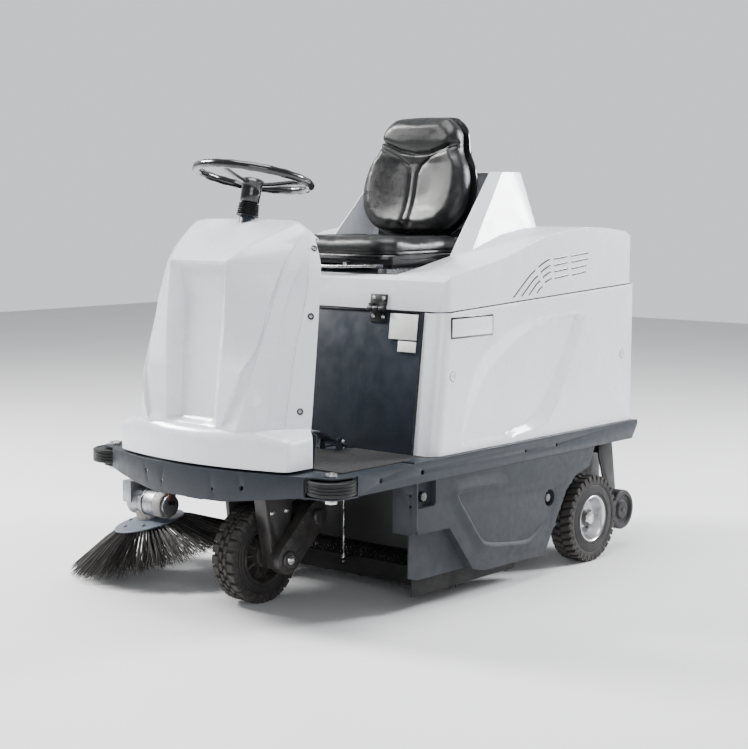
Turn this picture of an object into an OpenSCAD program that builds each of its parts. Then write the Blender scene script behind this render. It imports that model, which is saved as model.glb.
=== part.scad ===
// Ride-on sweeper with a steered and driven front wheel, a covered steering column, a tilting engine
// hood that carries the seat, a cylindrical main brush, one side brush and a rear debris hopper.
// Millimetres. The sweeper drives towards -Y, the driver's left is +X and the floor is Z = 0.
// Shapes are drawn about the centre plane and the front of the cab, then row() shifts them so that
// the origin lies on the floor under the middle of the whole outline.

/* [Frame] */
// Half the width over the side rails
rail_x = 430; // [428:1:432]
// Underside of the side rails
rail_bottom = 344; // [342:1:346]
// Top of the side rails
rail_top = 398; // [398:1:400]
// Rear end of the side rails
rail_rear = 863; // [858:1:868]
// Distance from the datum to the nose of the bumper plate
nose_y = 602; // [600:1:604]
// Radius of the bumper plate in plan
nose_radius = 897; // [880:1:920]

/* [Wheels] */
// Diameter of the front and rear wheels
wheel_d = 254; // [250:1:256]
// Distance from the datum forward to the front axle
front_axle_y = 343; // [341:1:345]
// Distance from the datum back to the rear axle
rear_axle_y = 638; // [634:1:642]
// Width of the front tyre
front_tyre_w = 76; // [70:1:80]
// Width of the rear tyres
rear_tyre_w = 70; // [64:1:74]
// Diameter of the hopper wheels
hopper_wheel_d = 120; // [110:1:124]
// Diameter of the corner bumper rollers
roller_d = 120; // [112:1:122]

/* [Body] */
// Half the width over the body panels
body_x = 418; // [414:1:420]
// Rear face of the body
body_rear = 840; // [836:1:844]
// Height of the hood split at the front
split_front = 768; // [764:1:770]
// Height of the hood split at the rear
split_rear = 809; // [805:1:813]
// Height of the hood deck
hood_top = 978; // [970:1:984]
// Height of the hump behind the seat
hump_top = 1134; // [1126:1:1140]
// Top of the steering cover
cover_top = 1006; // [1002:1:1010]

/* [Steering] */
// Lean of the steering column towards the driver, in degrees
column_lean = 13.2; // [12.8:0.1:13.6]
// Outer diameter of the steering wheel
steering_d = 318; // [300:1:330]

/* [Seat] */
// Width of the seat cushion
seat_w = 440; // [420:1:450]
// Top of the backrest
seat_back_top = 1305; // [1300:1:1310]

/* [Brushes] */
// Diameter of the main brush
main_brush_d = 280; // [270:1:282]
// Length of the main brush
main_brush_w = 660; // [640:1:664]
// Tilt of the side brush, in degrees
side_brush_tilt = 13; // [12:0.5:13.5]
// Radius of the side brush over its bristle tips
side_brush_r = 250; // [230:1:252]

/* [Hidden] */
$fn = 48;
gap = 0.4;

// Middle of the whole outline, which the side brush and the hopper wheels shift off the centre plane
mid_x = -117;
mid_y = 152;

// Frame
plate_t = 4;
nose_t = 5;
nose_half = 345;
deck_z = 394;
deck_t = 4;
nose_bottom = 317;
web_x = rail_x - plate_t;
rail_front = -430;
nose_centre_y = nose_radius - nose_y;
accessory_hole_r = 4.5;
tie_hole_r = 7;
hole_z = 371;
front_holes_y = [-343, -179];
rear_holes_y = [277, 428];
roller_x = 391;
roller_y = -483;
roller_z = 350;
roller_h = 37;
roller_bolt_r = 10;

// Front end
fork_y = -front_axle_y;
wheel_r = wheel_d / 2;
kingpin_r = 45;
fork_top = 352;
fork_sprocket_r = 96;
steer_sprocket_r = 24;
chain_z = 342;
chain_h = 8;
column_y = -500;
joint_z = 450;
shaft_r = 12;
wheel_dist = 681;
case_w = 32;
motor_y = -234;
motor_z = 226;
leg_x = 48;
leg_w = 40;
axle_r = 12;
rear_wheel_x = 388;

// Body
bulkhead_bottom_y = -116;
bulkhead_top_y = -70;
hinge_x = 195;
hinge_y = bulkhead_top_y - 12;
hinge_z = 770;
hinge_pin_r = 5;
hinge_knuckle_r = 8;
skin = 4;
bulkhead_half = 350;
lean_back = atan((bulkhead_top_y - bulkhead_bottom_y) / (split_front - deck_z));
split_y0 = -76;
split_slope = (split_rear - split_front) / (body_rear - split_y0);
corner_r = 36;

// Steering cover and dash
dash_bottom_y = -445;
dash_top_y = -351;
dash_lean = atan((dash_top_y - dash_bottom_y) / (cover_top - deck_z));
cover_step = 485;
// Places on the flank and the upward tilt of the surface there
cover_screws = [[225.5, -383.4, 938, 21], [251.4, -409.6, 768, 5.7], [259.8, -444.9, 538, 5.7]];

// Pedals
pedal_x = 110;
pedal_pivot_y = -170;
pedal_pivot_z = 420;
pedal_rest = 25;
cable_x = 120;
cable_y = -128;
flap_pivot_y = -90;
flap_pivot_z = 94;
drive_pedal_x = -150;
drive_pivot_y = -240;
drive_pivot_z = 408;
drive_rest = 22;

// Seat
seat_floor = 858;
rail_h = 14;
pan_z = 884;
pan_t = 20;
back_lean = 12;
back_y = 322;
back_z = seat_back_top - 361;
back_t = 74;

// Brushes
brush_y = 75;
brush_z = main_brush_d / 2 + 2;
disc_x = -450;
disc_y = -312;
disc_z = 152;
disc_r = 100;
dip_angle = -127;
bristle_len = 88;
arm_pivot_x = -270;
arm_pivot_y = disc_y;
arm_pivot_z = 328;
brush_motor_y = disc_y - 6;
brush_motor_z = 206;

// Hopper
hopper_half = 318;
hopper_front = 262;
hopper_rear = 832;
hopper_wheel_x = 380;
hopper_wheel_y = 846;
hopper_wheel_z = 120;
hopper_wheel_w = 34;

// Colours
white = "#e9ecf0";
frame_grey = "#59626e";
skirt_grey = "#4a515a";
dark_grey = "#2c3640";
black = "#1b1c1e";
rubber = "#26272a";
steel = "#b4b8bd";

module row() {
    translate([-mid_x, -mid_y, 0]) children();
}

module both_sides() {
    children();
    mirror([1, 0, 0]) children();
}

// A prism with its outline in the YZ plane, running from x0 to x1
module side_prism(points, x0, x1) {
    translate([x0, 0, 0]) rotate([90, 0, 90]) linear_extrude(x1 - x0) polygon(points);
}

// A rod along X between x0 and x1
module rod_x(y, z, r, x0, x1) {
    translate([x0, y, z]) rotate([0, 90, 0]) cylinder(h = x1 - x0, r = r);
}

// Places children at the steering joint with +Z up the column
module along_column() {
    translate([0, column_y, joint_z]) rotate([-column_lean, 0, 0]) children();
}

// Places children at the side brush disc with +Z up the brush shaft
module along_side_brush() {
    translate([disc_x, disc_y, disc_z]) rotate([0, 0, dip_angle]) rotate([0, side_brush_tilt, 0]) children();
}

// Frame

module side_rails() {
    web = [
        [rail_front, rail_bottom], [rail_rear - 29, rail_bottom], [rail_rear, rail_top - 14],
        [rail_rear, rail_top], [-205, rail_top], [-210, deck_z], [rail_front, deck_z]
    ];
    color(frame_grey) row() both_sides() difference() {
        union() {
            side_prism(web, web_x, rail_x);
            translate([web_x - 40, -205, deck_z]) cube([40, rail_rear + 197, rail_top - deck_z]);
            translate([web_x - 22, rail_front, rail_bottom]) cube([22, rail_rear - 37 - rail_front, plate_t]);
        }
        for (y = front_holes_y) rod_x(y, hole_z, tie_hole_r, web_x - 1, rail_x + 1);
        for (y = rear_holes_y) rod_x(y, hole_z, accessory_hole_r, web_x - 1, rail_x + 1);
    }
}

module nose_plan(r) {
    translate([0, nose_centre_y]) circle(r = r, $fn = 180);
}

module front_plate() {
    face = [
        [-nose_half, rail_bottom], [-128, nose_bottom], [128, nose_bottom], [nose_half, rail_bottom],
        [nose_half, deck_z], [-nose_half, deck_z]
    ];
    color(frame_grey) row() difference() {
        intersection() {
            translate([0, 0, nose_bottom]) linear_extrude(deck_z - nose_bottom) difference() {
                nose_plan(nose_radius);
                nose_plan(nose_radius - nose_t);
            }
            translate([0, -500, 0]) rotate([90, 0, 0]) linear_extrude(200) polygon(face);
        }
        for (hole = [[185, 356, 6], [97, 346, 4], [-83, 346, 4], [-150, 362, 4], [-150, 366, 4]]) {
            translate([hole[0], -500, hole[1]]) rotate([90, 0, 0]) cylinder(h = 150, r = hole[2]);
        }
    }
}

// The ear of the deck or of the lower plate that carries a corner roller
module roller_ear_plan() {
    hull() {
        translate([roller_x, roller_y]) circle(r = 30, $fn = 60);
        polygon([[300, -524], [nose_half - 8, -524], [web_x, -424], [300, -424]]);
    }
}

module frame_crossbars() {
    bracket = [[bulkhead_half, 207], [413, 207], [rail_x, 224], [rail_x, rail_bottom], [bulkhead_half, rail_bottom]];
    color(frame_grey) row() {
        for (y = [-240, 290, 796]) {
            translate([-web_x, y, 350]) difference() {
                cube([2 * web_x, 40, 40]);
                translate([-1, 4, 4]) cube([2 * web_x + 2, 32, 32]);
            }
        }
        for (y = [arm_pivot_y - 34, arm_pivot_y + 30]) difference() {
            translate([arm_pivot_x - 20, y, 312]) cube([40, 4, deck_z - deck_t - 312]);
            translate([arm_pivot_x, y + 5, arm_pivot_z]) rotate([90, 0, 0]) cylinder(h = 6, r = 6.05);
        }
        both_sides() translate([0, 0, rail_bottom - plate_t]) linear_extrude(plate_t) difference() {
            roller_ear_plan();
            translate([roller_x, roller_y]) circle(r = roller_bolt_r);
        }
        both_sides() difference() {
            translate([0, -197, 0]) rotate([90, 0, 0]) linear_extrude(plate_t) polygon(bracket);
            for (z = [282, 310]) {
                translate([408, -190, z]) rotate([90, 0, 0]) cylinder(h = 20, r = 4.5);
            }
        }
    }
}

module roller_bolts() {
    color(steel) row() both_sides() translate([roller_x, roller_y, 0]) {
        translate([0, 0, rail_bottom - plate_t]) cylinder(h = deck_z - rail_bottom + plate_t, r = roller_bolt_r);
        translate([0, 0, deck_z]) cylinder(h = 9, r = 16, $fn = 6);
        translate([0, 0, rail_bottom - plate_t - 11]) cylinder(h = 11, r = 16, $fn = 6);
    }
}

// Ears on the deck that hold a pedal's pivot rod
module pedal_ears(x, y, z, half) {
    for (side = [-1, 1]) {
        difference() {
            side_prism([[y - 12, deck_z], [y + 12, deck_z], [y + 8, z + 8], [y - 8, z + 8]],
                       x + side * half - 2, x + side * half + 2);
            rod_x(y, z, 5.05, x + side * half - 3, x + side * half + 3);
        }
    }
}

module deck_plate() {
    color(frame_grey) row() {
        translate([0, 0, deck_z - deck_t]) linear_extrude(deck_t) difference() {
            union() {
                intersection() {
                    nose_plan(nose_radius - nose_t);
                    translate([-nose_half, -620]) square([2 * nose_half, 400]);
                }
                translate([-web_x, -424]) square([2 * web_x, rail_rear + 416]);
                roller_ear_plan();
                mirror([1, 0]) roller_ear_plan();
            }
            for (side = [-1, 1]) translate([side * roller_x, roller_y]) circle(r = roller_bolt_r);
            translate([0, column_y]) circle(r = shaft_r + 0.06);
            translate([cable_x, cable_y]) circle(r = 6);
        }
        pedal_ears(pedal_x, pedal_pivot_y, pedal_pivot_z, 30);
        pedal_ears(drive_pedal_x, drive_pivot_y, drive_pivot_z, 30);
    }
}

module floor_mat() {
    color(black) row() translate([0, 0, deck_z]) linear_extrude(4) difference() {
        translate([-384, -438]) square([768, 438 + bulkhead_bottom_y - 2]);
        translate([pedal_x - 40, pedal_pivot_y - 20]) square([80, 80]);
        translate([drive_pedal_x - 40, drive_pivot_y - 20]) square([80, 40]);
    }
}

module slewing_bearing() {
    color(steel) row() translate([0, fork_y, fork_top + 4]) difference() {
        cylinder(h = deck_z - deck_t - fork_top - 4, r = 75);
        translate([0, 0, -1]) cylinder(h = 60, r = kingpin_r + 0.05);
    }
}

// Cab and steering cover

module bulkhead_panel() {
    panel = [
        [bulkhead_bottom_y, deck_z], [bulkhead_bottom_y + 4, deck_z],
        [bulkhead_top_y + 4, split_front], [bulkhead_top_y, split_front]
    ];
    color(dark_grey) row() side_prism(panel, -bulkhead_half, bulkhead_half);
}

// One horizontal slice of the steering cover: nose, corner and rear edge points of its half outline
module cover_slice(z, nose, corner_x, corner_y, rear_x, rear_y, inset) {
    translate([0, 0, z]) linear_extrude(1) polygon([
        [0, nose + inset], [corner_x - inset, corner_y + inset], [rear_x - inset, rear_y],
        [inset - rear_x, rear_y], [inset - corner_x, corner_y + inset]
    ]);
}

module cover_solid(inset, tail) {
    translate([0, 0, deck_z - inset]) linear_extrude(cover_step - deck_z) offset(r = 50 - inset) offset(delta = -50)
        intersection() {
            nose_plan(nose_radius - nose_t - 1);
            translate([-302, -620]) square([604, 260 + tail]);
        }
    hull() {
        cover_slice(cover_step - 3 - inset, -588, 203, -574, 276, -425 + tail, inset);
        cover_slice(794, -562, 176, -548, 265, -378 + tail, inset);
        cover_slice(900, -540, 172, -522, 252, -362 + tail, inset);
        cover_slice(cover_top - 1 - inset, -400, 205, -382, 216, -345 + tail, inset);
    }
}

// Everything behind the sloping dash plane
module behind_dash(shift) {
    side_prism([
        [dash_bottom_y + shift, deck_z], [dash_top_y + shift, cover_top], [dash_top_y + shift + 16, cover_top + 100],
        [200, cover_top + 100], [200, deck_z - 60], [dash_bottom_y + shift - 9, deck_z - 60]
    ], -400, 400);
}

// Places children on the cover's flank, +Z outwards
module at_cover_screws() {
    for (place = cover_screws) {
        translate([place[0], place[1], place[2]]) rotate([0, 0, -26]) rotate([0, 90 - place[3], 0]) children();
    }
}

module steering_cover() {
    color(white) row() difference() {
        cover_solid(0, 0);
        cover_solid(skin, 30);
        behind_dash(0);
        along_column() cylinder(h = 640, r = 21);
        both_sides() at_cover_screws() {
            translate([0, 0, -30]) cylinder(h = 60, r = 3.2);
            translate([0, 0, 0.8]) cylinder(h = 30, r = 7.5);
        }
    }
}

module dash_panel() {
    outline = [
        [296, deck_z], [296, 480], [268, 492], [247, 900], [238, 950], [205, 998],
        [-205, 998], [-238, 950], [-247, 900], [-268, 492], [-296, 480], [-296, deck_z]
    ];
    color(dark_grey) row() difference() {
        intersection() {
            translate([0, -300, 0]) rotate([90, 0, 0]) linear_extrude(300) polygon(outline);
            difference() {
                behind_dash(0);
                behind_dash(3);
            }
        }
        at_key() rotate([-90, 0, 0]) translate([0, 0, -20]) cylinder(h = 40, r = 10.3);
        along_column() cylinder(h = 640, r = 20);
    }
}

// Places children at the key switch with +Y out of the dash towards the driver
module at_key() {
    z = 900;
    y = dash_bottom_y + (z - deck_z) * tan(dash_lean);
    translate([120, y, z]) rotate([-dash_lean, 0, 0]) children();
}

module panel_screws() {
    color(steel) row() {
        both_sides() at_cover_screws() {
            translate([0, 0, -12]) cylinder(h = 13, r = 3);
            translate([0, 0, 1]) cylinder(h = 3, r = 7);
        }
        both_sides() for (y = [-40, 787]) {
            rod_x(y, 602, 3, body_x - 14, body_x - 1);
            rod_x(y, 602, 8, body_x - 1, body_x + 2);
        }
    }
}

module column_tube() {
    color(dark_grey) row() difference() {
        union() {
            along_column() translate([0, 0, 62]) cylinder(h = 548, r = 19);
            for (side = [-1, 1]) {
                translate([side * 26 - 2, column_y - 26, deck_z]) cube([4, 60, 146]);
            }
            translate([-28, column_y - 26, deck_z + 142]) cube([56, 60, 4]);
        }
        along_column() cylinder(h = 640, r = shaft_r + 0.06);
        along_column() translate([0, 0, 20]) cylinder(h = 42, r = 21);
    }
}

module column_boot() {
    rings = 6;
    pitch = 5.5;
    color(black) row() along_column() translate([0, 0, 577]) rotate_extrude() polygon(concat(
        [[19, 0], [19, rings * pitch]],
        [for (i = [rings:-1:1]) each [[21, i * pitch], [26, (i - 0.5) * pitch]]],
        [[21, 0]]
    ));
}

module steering_chain() {
    color(steel) row() translate([0, 0, chain_z + 0.5]) linear_extrude(chain_h - 1) difference() {
        hull() {
            translate([0, fork_y]) circle(r = fork_sprocket_r + 5, $fn = 96);
            translate([0, column_y]) circle(r = steer_sprocket_r + 5, $fn = 48);
        }
        hull() {
            translate([0, fork_y]) circle(r = fork_sprocket_r + 0.6, $fn = 96);
            translate([0, column_y]) circle(r = steer_sprocket_r + 0.6, $fn = 48);
        }
    }
}

// Body panels and skirts

function split_z(y) = split_front + (y - split_y0) * split_slope;

// Everything between the deck and the hood split, cut on the split's slope
module below_split(x0, x1, rear) {
    side_prism([[-160, rail_top], [rear, rail_top], [rear, split_z(rear)], [-160, split_z(-160)]], x0, x1);
}

// Plan of a side panel from its front return, round the corner and along the side
module side_panel_plan(length) {
    turn = [for (a = [0:6:90]) a];
    outer = [for (a = turn) [body_x - corner_r + corner_r * sin(a), corner_r - corner_r * cos(a)]];
    r = corner_r - skin;
    inner = [for (a = turn) [body_x - corner_r + r * cos(a), corner_r - r * sin(a)]];
    polygon(concat(
        [[bulkhead_half + 0.5, 0]], outer, [[body_x, length], [body_x - skin, length]], inner,
        [[bulkhead_half + 0.5, skin]]
    ));
}

module left_panel_shape() {
    intersection() {
        below_split(bulkhead_half - 5, body_x + 5, body_rear - skin);
        translate([0, bulkhead_bottom_y - 4, rail_top]) rotate([-lean_back, 0, 0]) translate([0, 0, -20])
            linear_extrude(640) side_panel_plan(1200);
    }
}

module body_panel_shape() {
    difference() {
        left_panel_shape();
        for (y = [-40, 787]) rod_x(y, 602, 3.2, body_x - 30, body_x + 30);
        for (y = [-40, 787]) rod_x(y, 602, 9, body_x - 1, body_x + 30);
    }
}

module left_body_panel() {
    color(white) row() body_panel_shape();
}

module right_body_panel() {
    color(white) row() mirror([1, 0, 0]) body_panel_shape();
}

module rear_body_panel() {
    color(white) row() intersection() {
        below_split(-body_x, body_x, body_rear);
        translate([-body_x, body_rear - skin, rail_top]) cube([2 * body_x, skin, 480]);
    }
}

// Places children on the front of the bulkhead's top edge, +Z up the panel
module on_bulkhead() {
    translate([0, bulkhead_top_y, split_front]) rotate([-lean_back, 0, 0]) children();
}

module hinge_lower_leaves() {
    color(black) row() for (side = [-1, 1]) translate([side * hinge_x, 0, 0]) difference() {
        union() {
            on_bulkhead() translate([-28, -4, -34]) cube([56, 4, 30]);
            on_bulkhead() translate([-9, -11, -9]) cube([18, 10, 6]);
            rod_x(hinge_y, hinge_z, hinge_knuckle_r, -10, 10);
        }
        rod_x(hinge_y, hinge_z, hinge_pin_r + 0.05, -40, 40);
    }
}

skirt_outline = [
    [-195, rail_bottom], [632, rail_bottom], [605, 288], [534, 271], [485, 234], [379, 66], [97, 69],
    [41, 82], [-159, 83], [-199, 94], [-195, 213]
];
skirt_pocket = [[-230, 213], [-61, 208], [41, 83], [41, 40], [-230, 40]];
knob_pocket = [[-230, 277], [-128, 277], [-121, 284], [-121, 360], [-230, 360]];
knob_places = [[-161, 304], [400, 223]];

module skirt_prism(x0, x1) {
    translate([x0, 0, 0]) rotate([90, 0, 90]) linear_extrude(x1 - x0) children();
}

// The pocket stays open on the side where the side brush turns
module skirt_shape(open_pocket) {
    outer = rail_x - 2;
    inner = 396;
    color(skirt_grey) difference() {
        skirt_prism(inner, outer) polygon(skirt_outline);
        skirt_prism(inner - 1, outer - 4) difference() {
            offset(delta = -4) polygon(skirt_outline);
            offset(delta = 4) polygon(skirt_pocket);
            offset(delta = 4) polygon(knob_pocket);
            translate(knob_places[1]) circle(r = 28);
        }
        skirt_prism(open_pocket ? inner - 1 : inner + 4, outer + 1) polygon(skirt_pocket);
        skirt_prism(outer - 20, outer + 1) polygon(knob_pocket);
        skirt_prism(outer - 18, outer + 1) translate(knob_places[1]) circle(r = 24);
        skirt_prism(inner - 1, outer - 24) intersection() {
            offset(delta = -4) polygon(skirt_outline);
            polygon(knob_pocket);
        }
        for (place = knob_places) rod_x(place[0], place[1], 5, inner - 1, outer);
    }
}

module left_skirt() {
    row() skirt_shape(false);
}

module right_skirt() {
    row() mirror([1, 0, 0]) skirt_shape(true);
}

module skirt_knobs() {
    color(black) row() both_sides() {
        for (i = [0, 1]) {
            base = rail_x - 2 - [20, 18][i];
            rod_x(knob_places[i][0], knob_places[i][1], 5, base - 10, base);
            rod_x(knob_places[i][0], knob_places[i][1], 12, base, base + 12);
        }
    }
}

module side_flaps() {
    color(rubber) row() {
        side_prism([[-175, 40], [282, 38], [282, 110], [-175, 110]], 389, 393);
        side_prism([[-38, 40], [282, 38], [282, 110], [-38, 110]], -393, -389);
    }
}

module brush_housing() {
    color(dark_grey) row() difference() {
        union() {
            difference() {
                rod_x(brush_y, brush_z, 156, -348, 348);
                rod_x(brush_y, brush_z, 152, -349, 349);
                translate([-350, -200, -100]) cube([700, 275, 100 + brush_z]);
                translate([-350, brush_y - 1, -100]) cube([700, 300, 340]);
            }
            translate([-348, brush_y - 157, brush_z - 4]) cube([696, 4, deck_z - deck_t - brush_z + 4]);
            both_sides() side_prism([
                [-102, 82], [240, 76], [256, 240], [150, 300], [brush_y - 152, 300], [brush_y - 152, 175],
                [-30, 160], [-20, 101], [-102, 101]
            ], 346, bulkhead_half);
        }
        rod_x(brush_y, brush_z, shaft_r + 0.05, -360, 360);
        rod_x(flap_pivot_y, flap_pivot_z, 5.05, -360, 360);
    }
}

module axle_stubs() {
    color(steel) row() both_sides() {
        translate([330, rear_axle_y - 38, 100]) cube([6, 76, deck_z - deck_t - 100]);
        rod_x(rear_axle_y, wheel_r, shaft_r, 336, 404);
        rod_x(rear_axle_y, wheel_r, 20, 336, 350);
        translate([404, rear_axle_y, wheel_r]) rotate([0, 90, 0]) cylinder(h = 10, r = 18, $fn = 6);
    }
}

module battery_pack() {
    color(black) row() for (x = [-252, 4], y = [40, 214]) {
        translate([x, y, deck_z]) cube([248, 168, 216]);
        for (dx = [40, 208]) translate([x + dx, y + 40, deck_z + 216]) cylinder(h = 16, r = 9);
    }
}

module fan_unit() {
    color(dark_grey) row() {
        translate([-280, 430, deck_z]) cube([560, 380, 180]);
        translate([0, 620, deck_z + 180]) cylinder(h = 70, r = 120);
        translate([0, 620, deck_z + 250]) cylinder(h = 90, r = 60);
    }
}

// Steering

module steering_wheel() {
    rim_r = 11;
    color(black) row() along_column() difference() {
        union() {
            translate([0, 0, wheel_dist]) rotate_extrude($fn = 96) translate([steering_d / 2 - rim_r, 0]) circle(r = rim_r);
            translate([0, 0, 612]) cylinder(h = 50, r = 26);
            translate([0, 0, 662]) cylinder(h = 7, r1 = 26, r2 = 20);
            for (a = [-90, 30, 150]) rotate([0, 0, a]) translate([18, 0, 652]) rotate([0, -12, 0])
                translate([0, -14, -4]) cube([124, 28, 8]);
        }
        cylinder(h = 655, r = shaft_r);
    }
}

module steering_shaft() {
    color(steel) row() along_column() {
        translate([0, 0, 12]) cylinder(h = 22, r = 18);
        translate([0, 0, 34]) cylinder(h = 621, r = shaft_r);
    }
}

module steer_sprocket() {
    color(steel) row() translate([0, column_y, 0]) {
        translate([0, 0, chain_z]) cylinder(h = chain_h, r = steer_sprocket_r);
        translate([0, 0, chain_z + chain_h]) cylinder(h = 75, r = shaft_r);
        translate([0, 0, 425]) cylinder(h = 15, r = 18);
        translate([0, 0, 440]) cylinder(h = 8, r = 7);
        translate([0, 0, joint_z]) sphere(r = 9);
    }
}

module fork_leg(x0, x1) {
    side_prism([[-404, 334], [-292, 334], [-300, 240], [-322, 100], [-364, 100], [-392, 240]], x0, x1);
}

module fork() {
    color(dark_grey) row() difference() {
        union() {
            translate([0, fork_y, fork_top]) cylinder(h = 34, r = kingpin_r);
            translate([0, fork_y, 326]) cylinder(h = fork_top - 326, r = 70);
            translate([0, fork_y, chain_z]) cylinder(h = chain_h, r = fork_sprocket_r);
            translate([-60, -404, 322]) cube([148, 112, 12]);
            fork_leg(leg_x, leg_x + leg_w);
            fork_leg(-60, -48);
        }
        rod_x(fork_y, wheel_r, axle_r + 0.05, -70, 100);
    }
}

module case_outline(grow) {
    hull() {
        translate([fork_y, wheel_r]) circle(r = 39 + grow);
        translate([motor_y, motor_z]) circle(r = 40 + grow);
    }
}

module chain_case() {
    x0 = leg_x + leg_w;
    color(dark_grey) row() difference() {
        skirt_prism(x0, x0 + case_w) case_outline(0);
        skirt_prism(x0 + 4, x0 + case_w - 4) case_outline(-4);
        rod_x(fork_y, wheel_r, axle_r + 0.05, x0 - 1, x0 + 5);
        rod_x(motor_y, motor_z, 8, x0 - 1, x0 + case_w + 1);
    }
}

module drive_motor() {
    x0 = leg_x + leg_w;
    color(black) row() {
        rod_x(motor_y, motor_z, 36, 44, x0);
        rod_x(motor_y, motor_z, 8, x0, x0 + case_w);
        rod_x(motor_y, motor_z, 21, x0 + case_w, x0 + case_w + 14);
    }
}

// A tyre about the X axis with its middle at x = 0
module tyre(r, bead_r, w) {
    rotate([0, 90, 0]) rotate_extrude($fn = 96) polygon([
        [bead_r, -w / 2 + 5], [r - 18, -w / 2], [r - 5, -w / 2], [r, -w / 2 + 8],
        [r, w / 2 - 8], [r - 5, w / 2], [r - 18, w / 2], [bead_r, w / 2 - 5]
    ]);
}

// A dished rim about the X axis with its plate at x = dish and its hub ending at x = hub_end
module rim(bead_r, w, hub_r, bore, dish, hub_end) {
    rotate([0, 90, 0]) rotate_extrude($fn = 96) polygon([
        [bore, -w / 2], [hub_r, -w / 2], [hub_r, dish - 3], [bead_r - 5, dish - 3], [bead_r - 5, -w / 2 + 5],
        [bead_r, -w / 2 + 5], [bead_r, w / 2 - 5], [bead_r - 5, w / 2 - 5], [bead_r - 5, dish + 3],
        [hub_r, dish + 3], [hub_r, hub_end], [bore, hub_end]
    ]);
}

module front_tyre() {
    color(rubber) row() translate([0, fork_y, wheel_r]) tyre(wheel_r, 74, front_tyre_w);
}

module front_rim() {
    color(dark_grey) row() translate([0, fork_y, wheel_r]) rim(74, front_tyre_w, 30, axle_r, -4, front_tyre_w / 2);
}

module front_axle() {
    color(steel) row() {
        rod_x(fork_y, wheel_r, axle_r, -64, 112);
        rod_x(fork_y, wheel_r, 30, 98, 106);
    }
}

module left_tyre() {
    color(rubber) row() translate([rear_wheel_x, rear_axle_y, wheel_r]) tyre(wheel_r, 64, rear_tyre_w);
}

module left_rim() {
    color(steel) row() translate([rear_wheel_x, rear_axle_y, wheel_r]) rim(64, 62, 22, shaft_r + 0.05, -10, 14);
}

module right_tyre() {
    color(rubber) row() translate([-rear_wheel_x, rear_axle_y, wheel_r]) tyre(wheel_r, 64, rear_tyre_w);
}

module right_rim() {
    color(steel) row() mirror([1, 0, 0]) translate([rear_wheel_x, rear_axle_y, wheel_r])
        rim(64, 62, 22, shaft_r + 0.05, -10, 14);
}

// Brushes

module side_brush_arm() {
    color(steel) row() {
        difference() {
            union() {
                arm_barrel();
                translate([-505, disc_y - 24, 262]) cube([240, 48, 5]);
                translate([arm_pivot_x - 5, disc_y - 24, 262]) cube([10, 48, 60]);
                translate([-505, disc_y - 48, brush_motor_z]) cube([34, 84, 61]);
            }
            rod_x(brush_motor_y, brush_motor_z, 37.5, -520, -360);
        }
        translate([arm_pivot_x, arm_pivot_y + 40, arm_pivot_z]) rotate([90, 0, 0]) cylinder(h = 80, r = 6);
    }
}

// The arm's pivot barrel, along Y
module arm_barrel() {
    translate([arm_pivot_x, disc_y + 24, arm_pivot_z]) rotate([90, 0, 0]) cylinder(h = 48, r = 12);
}

module side_brush_motor() {
    color(steel) row() difference() {
        union() {
            rod_x(brush_motor_y, brush_motor_z, 37.5, -500, -362);
            rod_x(brush_motor_y, brush_motor_z, 30, -364, -350);
            along_side_brush() translate([0, 0, 6]) cylinder(h = 40, r = 30);
        }
        along_side_brush() cylinder(h = 24, r = 8.05);
    }
}

module side_brush_disc() {
    color(frame_grey) row() along_side_brush() {
        translate([0, 0, -6]) cylinder(h = 6, r = disc_r);
        cylinder(h = 5, r = 22);
        cylinder(h = 23, r = 8);
    }
}

module side_brush_bristles() {
    tip = -6 - bristle_len;
    color(rubber) row() along_side_brush() rotate_extrude($fn = 96) polygon([
        [40, -6], [disc_r - 2, -6], [side_brush_r, tip + 6], [side_brush_r - 4, tip], [side_brush_r - 60, tip], [40, -34]
    ]);
}

module main_brush() {
    color(rubber) row() {
        rod_x(brush_y, brush_z, main_brush_d / 2, -main_brush_w / 2, main_brush_w / 2);
        rod_x(brush_y, brush_z, shaft_r, -349, 349);
    }
}

module front_flap() {
    color(rubber) row() difference() {
        union() {
            rod_x(flap_pivot_y, flap_pivot_z, 5, -349, 349);
            translate([-340, flap_pivot_y - 2, 46]) cube([680, 4, flap_pivot_z - 46]);
            translate([cable_x - 8, cable_y - 12, flap_pivot_z - 3]) cube([16, flap_pivot_y - cable_y + 12, 6]);
        }
        translate([cable_x - 3.5, cable_y - 13, 0]) cube([7, 20, 200]);
    }
}

module flap_cable() {
    color(steel) row() translate([cable_x, cable_y, 0]) {
        translate([0, 0, 84]) cylinder(h = 6, r = 5);
        translate([0, 0, 90]) cylinder(h = 321, r = 2);
        translate([0, 0, 411]) cylinder(h = 6, r = 5);
    }
}

// Places children at a pedal's pivot, the pad towards -Y and raised by its rest angle
module at_pedal(x, y, z, rest) {
    translate([x, y, z]) rotate([-rest, 0, 0]) children();
}

module flap_pedal() {
    tail = cable_y - pedal_pivot_y;
    color(dark_grey) row() at_pedal(pedal_x, pedal_pivot_y, pedal_pivot_z, pedal_rest) difference() {
        union() {
            rod_x(0, 0, 5, -31, 31);
            translate([-25, -76, -3]) cube([50, 76, 6]);
            translate([0, -3, -3]) cube([20, tail + 12, 6]);
        }
        translate([cable_x - pedal_x - 3.5, tail - 3.6, -10]) cube([7, 40, 20]);
    }
}

module drive_pedal() {
    color(dark_grey) row() at_pedal(drive_pedal_x, drive_pivot_y, drive_pivot_z, drive_rest) {
        rod_x(0, 0, 5, -31, 31);
        translate([-26, -150, -3]) cube([52, 150, 6]);
    }
}

module key_switch() {
    color(steel) row() at_key() {
        rotate([-90, 0, 0]) translate([0, 0, -16]) cylinder(h = 22, r = 10);
        translate([-2, 6, -11]) cube([4, 26, 22]);
    }
}

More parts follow.
